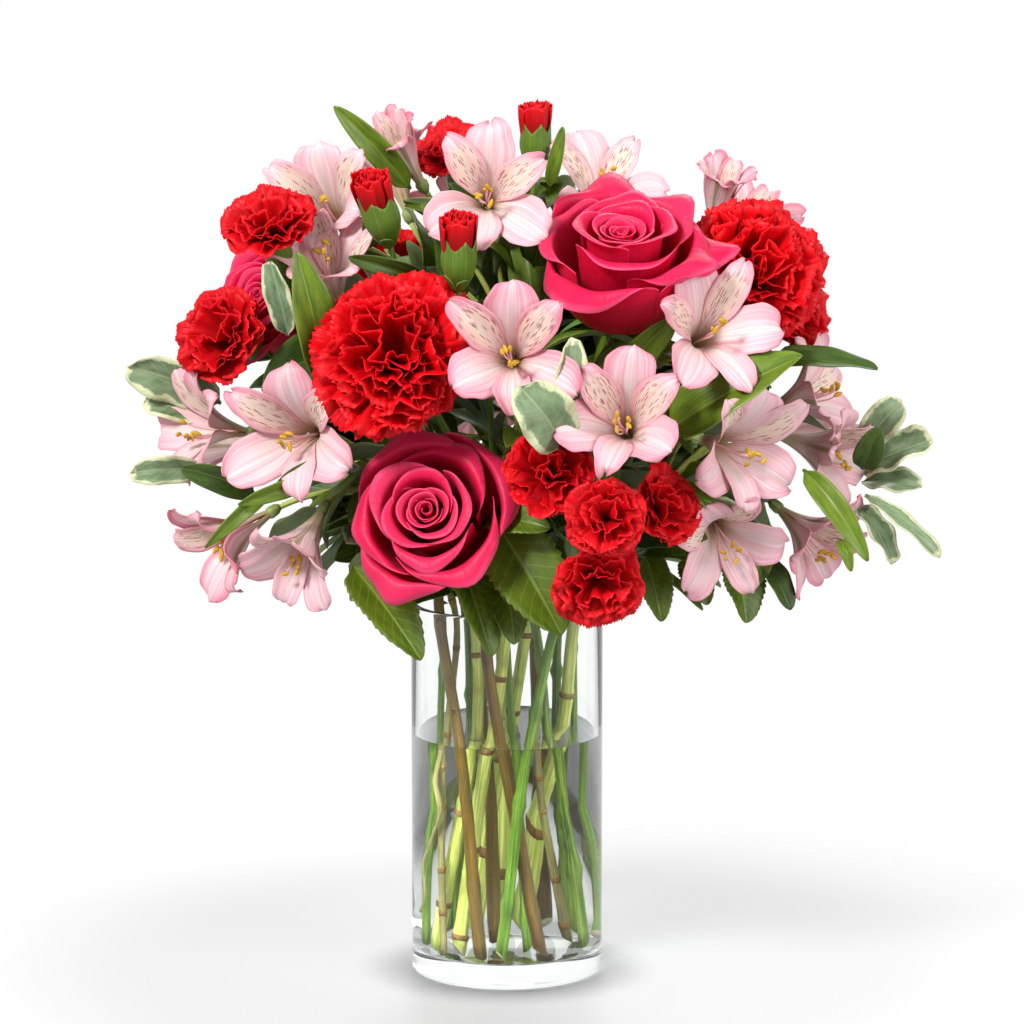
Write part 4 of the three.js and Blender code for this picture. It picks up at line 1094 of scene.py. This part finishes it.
LILY_LEAF = leaf_pair(
    "lily_leaf", (0.055, 0.11, 0.006), (0.15, 0.23, 0.016),
    (0.24, 0.31, 0.05), (0.2, 0.3, 0.04), "ribbed")
DARK_LEAF = leaf_pair(
    "dark_leaf", (0.02, 0.05, 0.005), (0.06, 0.11, 0.012),
    (0.1, 0.15, 0.03), (0.1, 0.16, 0.03), "ribbed")
ROSE_LEAF = leaf_pair(
    "rose_leaf", (0.045, 0.09, 0.004), (0.11, 0.17, 0.01),
    (0.15, 0.16, 0.03), (0.24, 0.32, 0.06), "feathered")
STRAP_LEAF = leaf_pair(
    "strap_leaf", (0.1, 0.2, 0.09), (0.17, 0.29, 0.13),
    (0.24, 0.36, 0.2), (0.2, 0.32, 0.16), "ribbed")
CREAM_LEAF = leaf_pair(
    "cream_leaf", (0.1, 0.17, 0.07), (0.24, 0.32, 0.18),
    (0.72, 0.72, 0.45), (0.32, 0.4, 0.22), "margined")

# Leaves at the front, each with its base, its tip, its half width, its roll, its bend and its wave.
SHOWN = {
    "lily_leaves_front": (LILY_LEAF, 0.42, 1.2, 0, "lily_stems", [
        ((-50, -28, 424), (-89, -47, 469), 7.5, 25, 0.06, 0.3),
        ((-93, -92, 334), (-106, -114, 402), 12.5, -20, 0.1, 0.2),
        ((22, -30, 425), (29, -34, 457), 4, 20, 0.05, 0.3),
        ((82, -98, 308), (150, -112, 349), 17, 12, 0.12, 0.2),
        ((152, -92, 287), (184, -118, 244), 7, -25, 0.14, 0.4),
        ((-104, -95, 280), (-137, -110, 272), 5.5, 30, 0.1, 0.4),
        ((-122, -90, 275), (-154, -112, 250), 4.6, 20, 0.16, 0.4),
        ((60, -98, 340), (86, -104, 368), 9, -20, 0.1, 0.3),
        ((172, -70, 246), (178, -82, 232), 4, 0, 0.3, 0.4),
        ((136, -60, 254), (128, -72, 222), 8, 20, 0.1, 0.3)]),
    "dark_leaves_front": (DARK_LEAF, 0.45, 1.05, 0, "lily_stems", [
        ((-38, -88, 382), (-80, -110, 399), 6, 30, 0.08, 0.2),
        ((14, -50, 386), (20, -62, 424), 10, 30, 0.1, 0.3),
        ((136, -70, 341), (190, -86, 338), 9, 20, 0.1, 0.3),
        ((-130, -78, 272), (-167, -92, 288), 8, 25, 0.12, 0.3),
        ((133, -60, 236), (147, -74, 210), 8, 30, 0.1, 0.3),
        ((185, -50, 280), (192, -60, 304), 8, 10, 0.1, 0.3),
        ((-88, -84, 288), (-118, -104, 280), 7, 30, 0.1, 0.3),
        ((66, -76, 247), (103, -97, 252), 9, 20, 0.1, 0.3),
        ((-24, -70, 372), (-34, -84, 408), 8, 30, 0.1, 0.3),
        ((-70, -64, 398), (-64, -74, 430), 8, -30, 0.1, 0.3)]),
    "rose_leaves_front": (ROSE_LEAF, 0.4, 1.12, 13, "rose_stems", [
        ((-80, -84, 236), (-44, -106, 190), 15, 10, 0.1, 0.3),
        ((-4, -98, 258), (28, -120, 206), 20, -15, 0.08, 0.2),
        ((-24, -88, 238), (-8, -106, 192), 14, 25, 0.1, 0.3),
        ((-2, -80, 236), (4, -104, 198), 12, -25, 0.1, 0.3),
        ((-10, -96, 262), (22, -124, 262), 11, 20, 0.12, 0.3),
        ((119, -60, 236), (124, -78, 204), 13, 10, 0.1, 0.3),
        ((72, -70, 238), (80, -84, 206), 10, 10, 0.1, 0.3),
        ((94, -66, 238), (104, -80, 214), 9, -30, 0.1, 0.3)]),
    "cream_leaves_front": (CREAM_LEAF, 0.6, 0.9, 0, "greenery", [
        ((-150, -20, 310), (-198, -36, 332), 13, 30, 0.16, 0.9),
        ((-152, -20, 302), (-190, -34, 312), 9, 10, 0.16, 0.9),
        ((-157, -62, 281), (-194, -80, 283), 8, 25, 0.14, 0.9),
        ((26, -138, 306), (6, -162, 341), 16, 10, 0.2, 0.7),
        ((28, -120, 318), (32, -140, 362), 10, -25, 0.2, 0.7),
        ((184, -30, 276), (222, -42, 294), 13, 15, 0.14, 0.9),
        ((186, -30, 270), (216, -48, 270), 9, 25, 0.14, 0.9),
        ((185, -30, 288), (206, -36, 314), 10, -20, 0.16, 0.9),
        ((182, -54, 262), (200, -72, 234), 9, 20, 0.2, 0.9),
        ((-112, -90, 356), (-120, -102, 396), 8, 20, 0.1, 0.6),
        ((186, -60, 268), (224, -76, 238), 6, 20, 0.12, 0.9)]),
}
for number, (name, (skins, fullest, sharp, teeth, slot, specs)) in enumerate(SHOWN.items()):
    rng = np.random.default_rng(1200 + number)
    rows = 60 if teeth else 26
    sheet = blades(specs, fullest, sharp, rng, rows, 11, teeth, (0.1, -1.0, 0.45))
    make_piece(name, [sheet], skins, (), 0.35, 1)

# Leaves that clothe the stems above the rim, fewer towards the flowers. One that would lie across a
# flower's face is left off.
hearts = np.array([at - face * LENGTH[sort] * size * 0.25 for sort, size, at, face, roll in FLOWERS.values()])
rooms = np.array([RADIUS[sort] * size * 0.9 for sort, size, at, face, roll in FLOWERS.values()])
CLOTHING = {
    "rose": (ROSE_LEAF, 0.4, 1.12, 15, "rose_stems", (40, 56), 0.36, 7),
    "lily": (LILY_LEAF, 0.42, 1.3, 0, "lily_stems", (48, 78), 0.13, 16),
    "carnation": (STRAP_LEAF, 0.3, 1.2, 0, "carnation_stems", (45, 70), 0.05, 6),
    "spray": (STRAP_LEAF, 0.3, 1.2, 0, "spray_stems", (35, 55), 0.06, 7),
    "twig": (CREAM_LEAF, 0.6, 1.0, 0, "greenery", (30, 46), 0.26, 22),
}
for number, (name, (path, ends)) in enumerate(TOPS.items()):
    kind = STEMS[name][0]
    skins, fullest, sharp, teeth, slot, sizes, share, many = CLOTHING[kind]
    rng = np.random.default_rng(1300 + number)
    above = path[path[:, 2] > 212]
    specs = []
    for _ in range(many * 5):
        base = above[rng.integers(len(above))]
        outward = unit(base * (1, 1, 0) + rng.normal(0, 22, 3) * (1, 1, 0) + (0, 0, 1e-3))
        heading = unit(outward + (0, 0, rng.uniform(-0.25, 0.75)))
        size = rng.uniform(*sizes)
        tip = base + heading * size
        nearest = np.min([np.linalg.norm(hearts - (base + heading * size * k), axis=1) - rooms
                          for k in (0.5, 0.8, 1.0)])
        if nearest > 2 and len(specs) < many:
            specs.append((base, tip, size * share, rng.uniform(-60, 60), rng.uniform(0.05, 0.2), 0.5))
    make_piece(name + "_leaves", [blades(specs, fullest, sharp, rng, 44 if teeth else 22, 9, teeth)], skins,
               (), 0.35, 1)

# Dark foliage between the flowers, inside an egg a little smaller than the bouquet, so that no light comes
# through it. Each leaf starts near the bunch's middle and points outwards.
middle, reach = np.array([5.0, 0.0, 292.0]), np.array([168.0, 122.0, 150.0])
for number, (name, skins, fullest, sharp, share, many) in enumerate((
        ("inner_lily_leaves", LILY_LEAF, 0.42, 1.2, 0.17, 60),
        ("inner_dark_leaves", DARK_LEAF, 0.45, 1.05, 0.22, 70),
        ("inner_rose_leaves", ROSE_LEAF, 0.42, 0.9, 0.3, 40))):
    rng = np.random.default_rng(1500 + number)
    specs = []
    while len(specs) < many:
        heading = unit(rng.normal(size=3) + (0, 0, 0.25))
        tip = middle + heading * reach * rng.uniform(0.72, 1.0)
        size = rng.uniform(46, 78)
        base = tip - unit(heading * reach + rng.normal(0, 50, 3)) * size
        clear = np.min([np.linalg.norm(hearts - (base + (tip - base) * k), axis=1) - rooms
                        for k in (0.3, 0.6, 1.0)])
        if clear > 0 and base[2] > 215 and tip[2] > 205:
            specs.append((base, tip, size * share, rng.uniform(-50, 50), rng.uniform(0.05, 0.2), 0.4))
    make_piece(name, [blades(specs, fullest, sharp, rng, 20, 9)], skins, (), 0.35, 1)
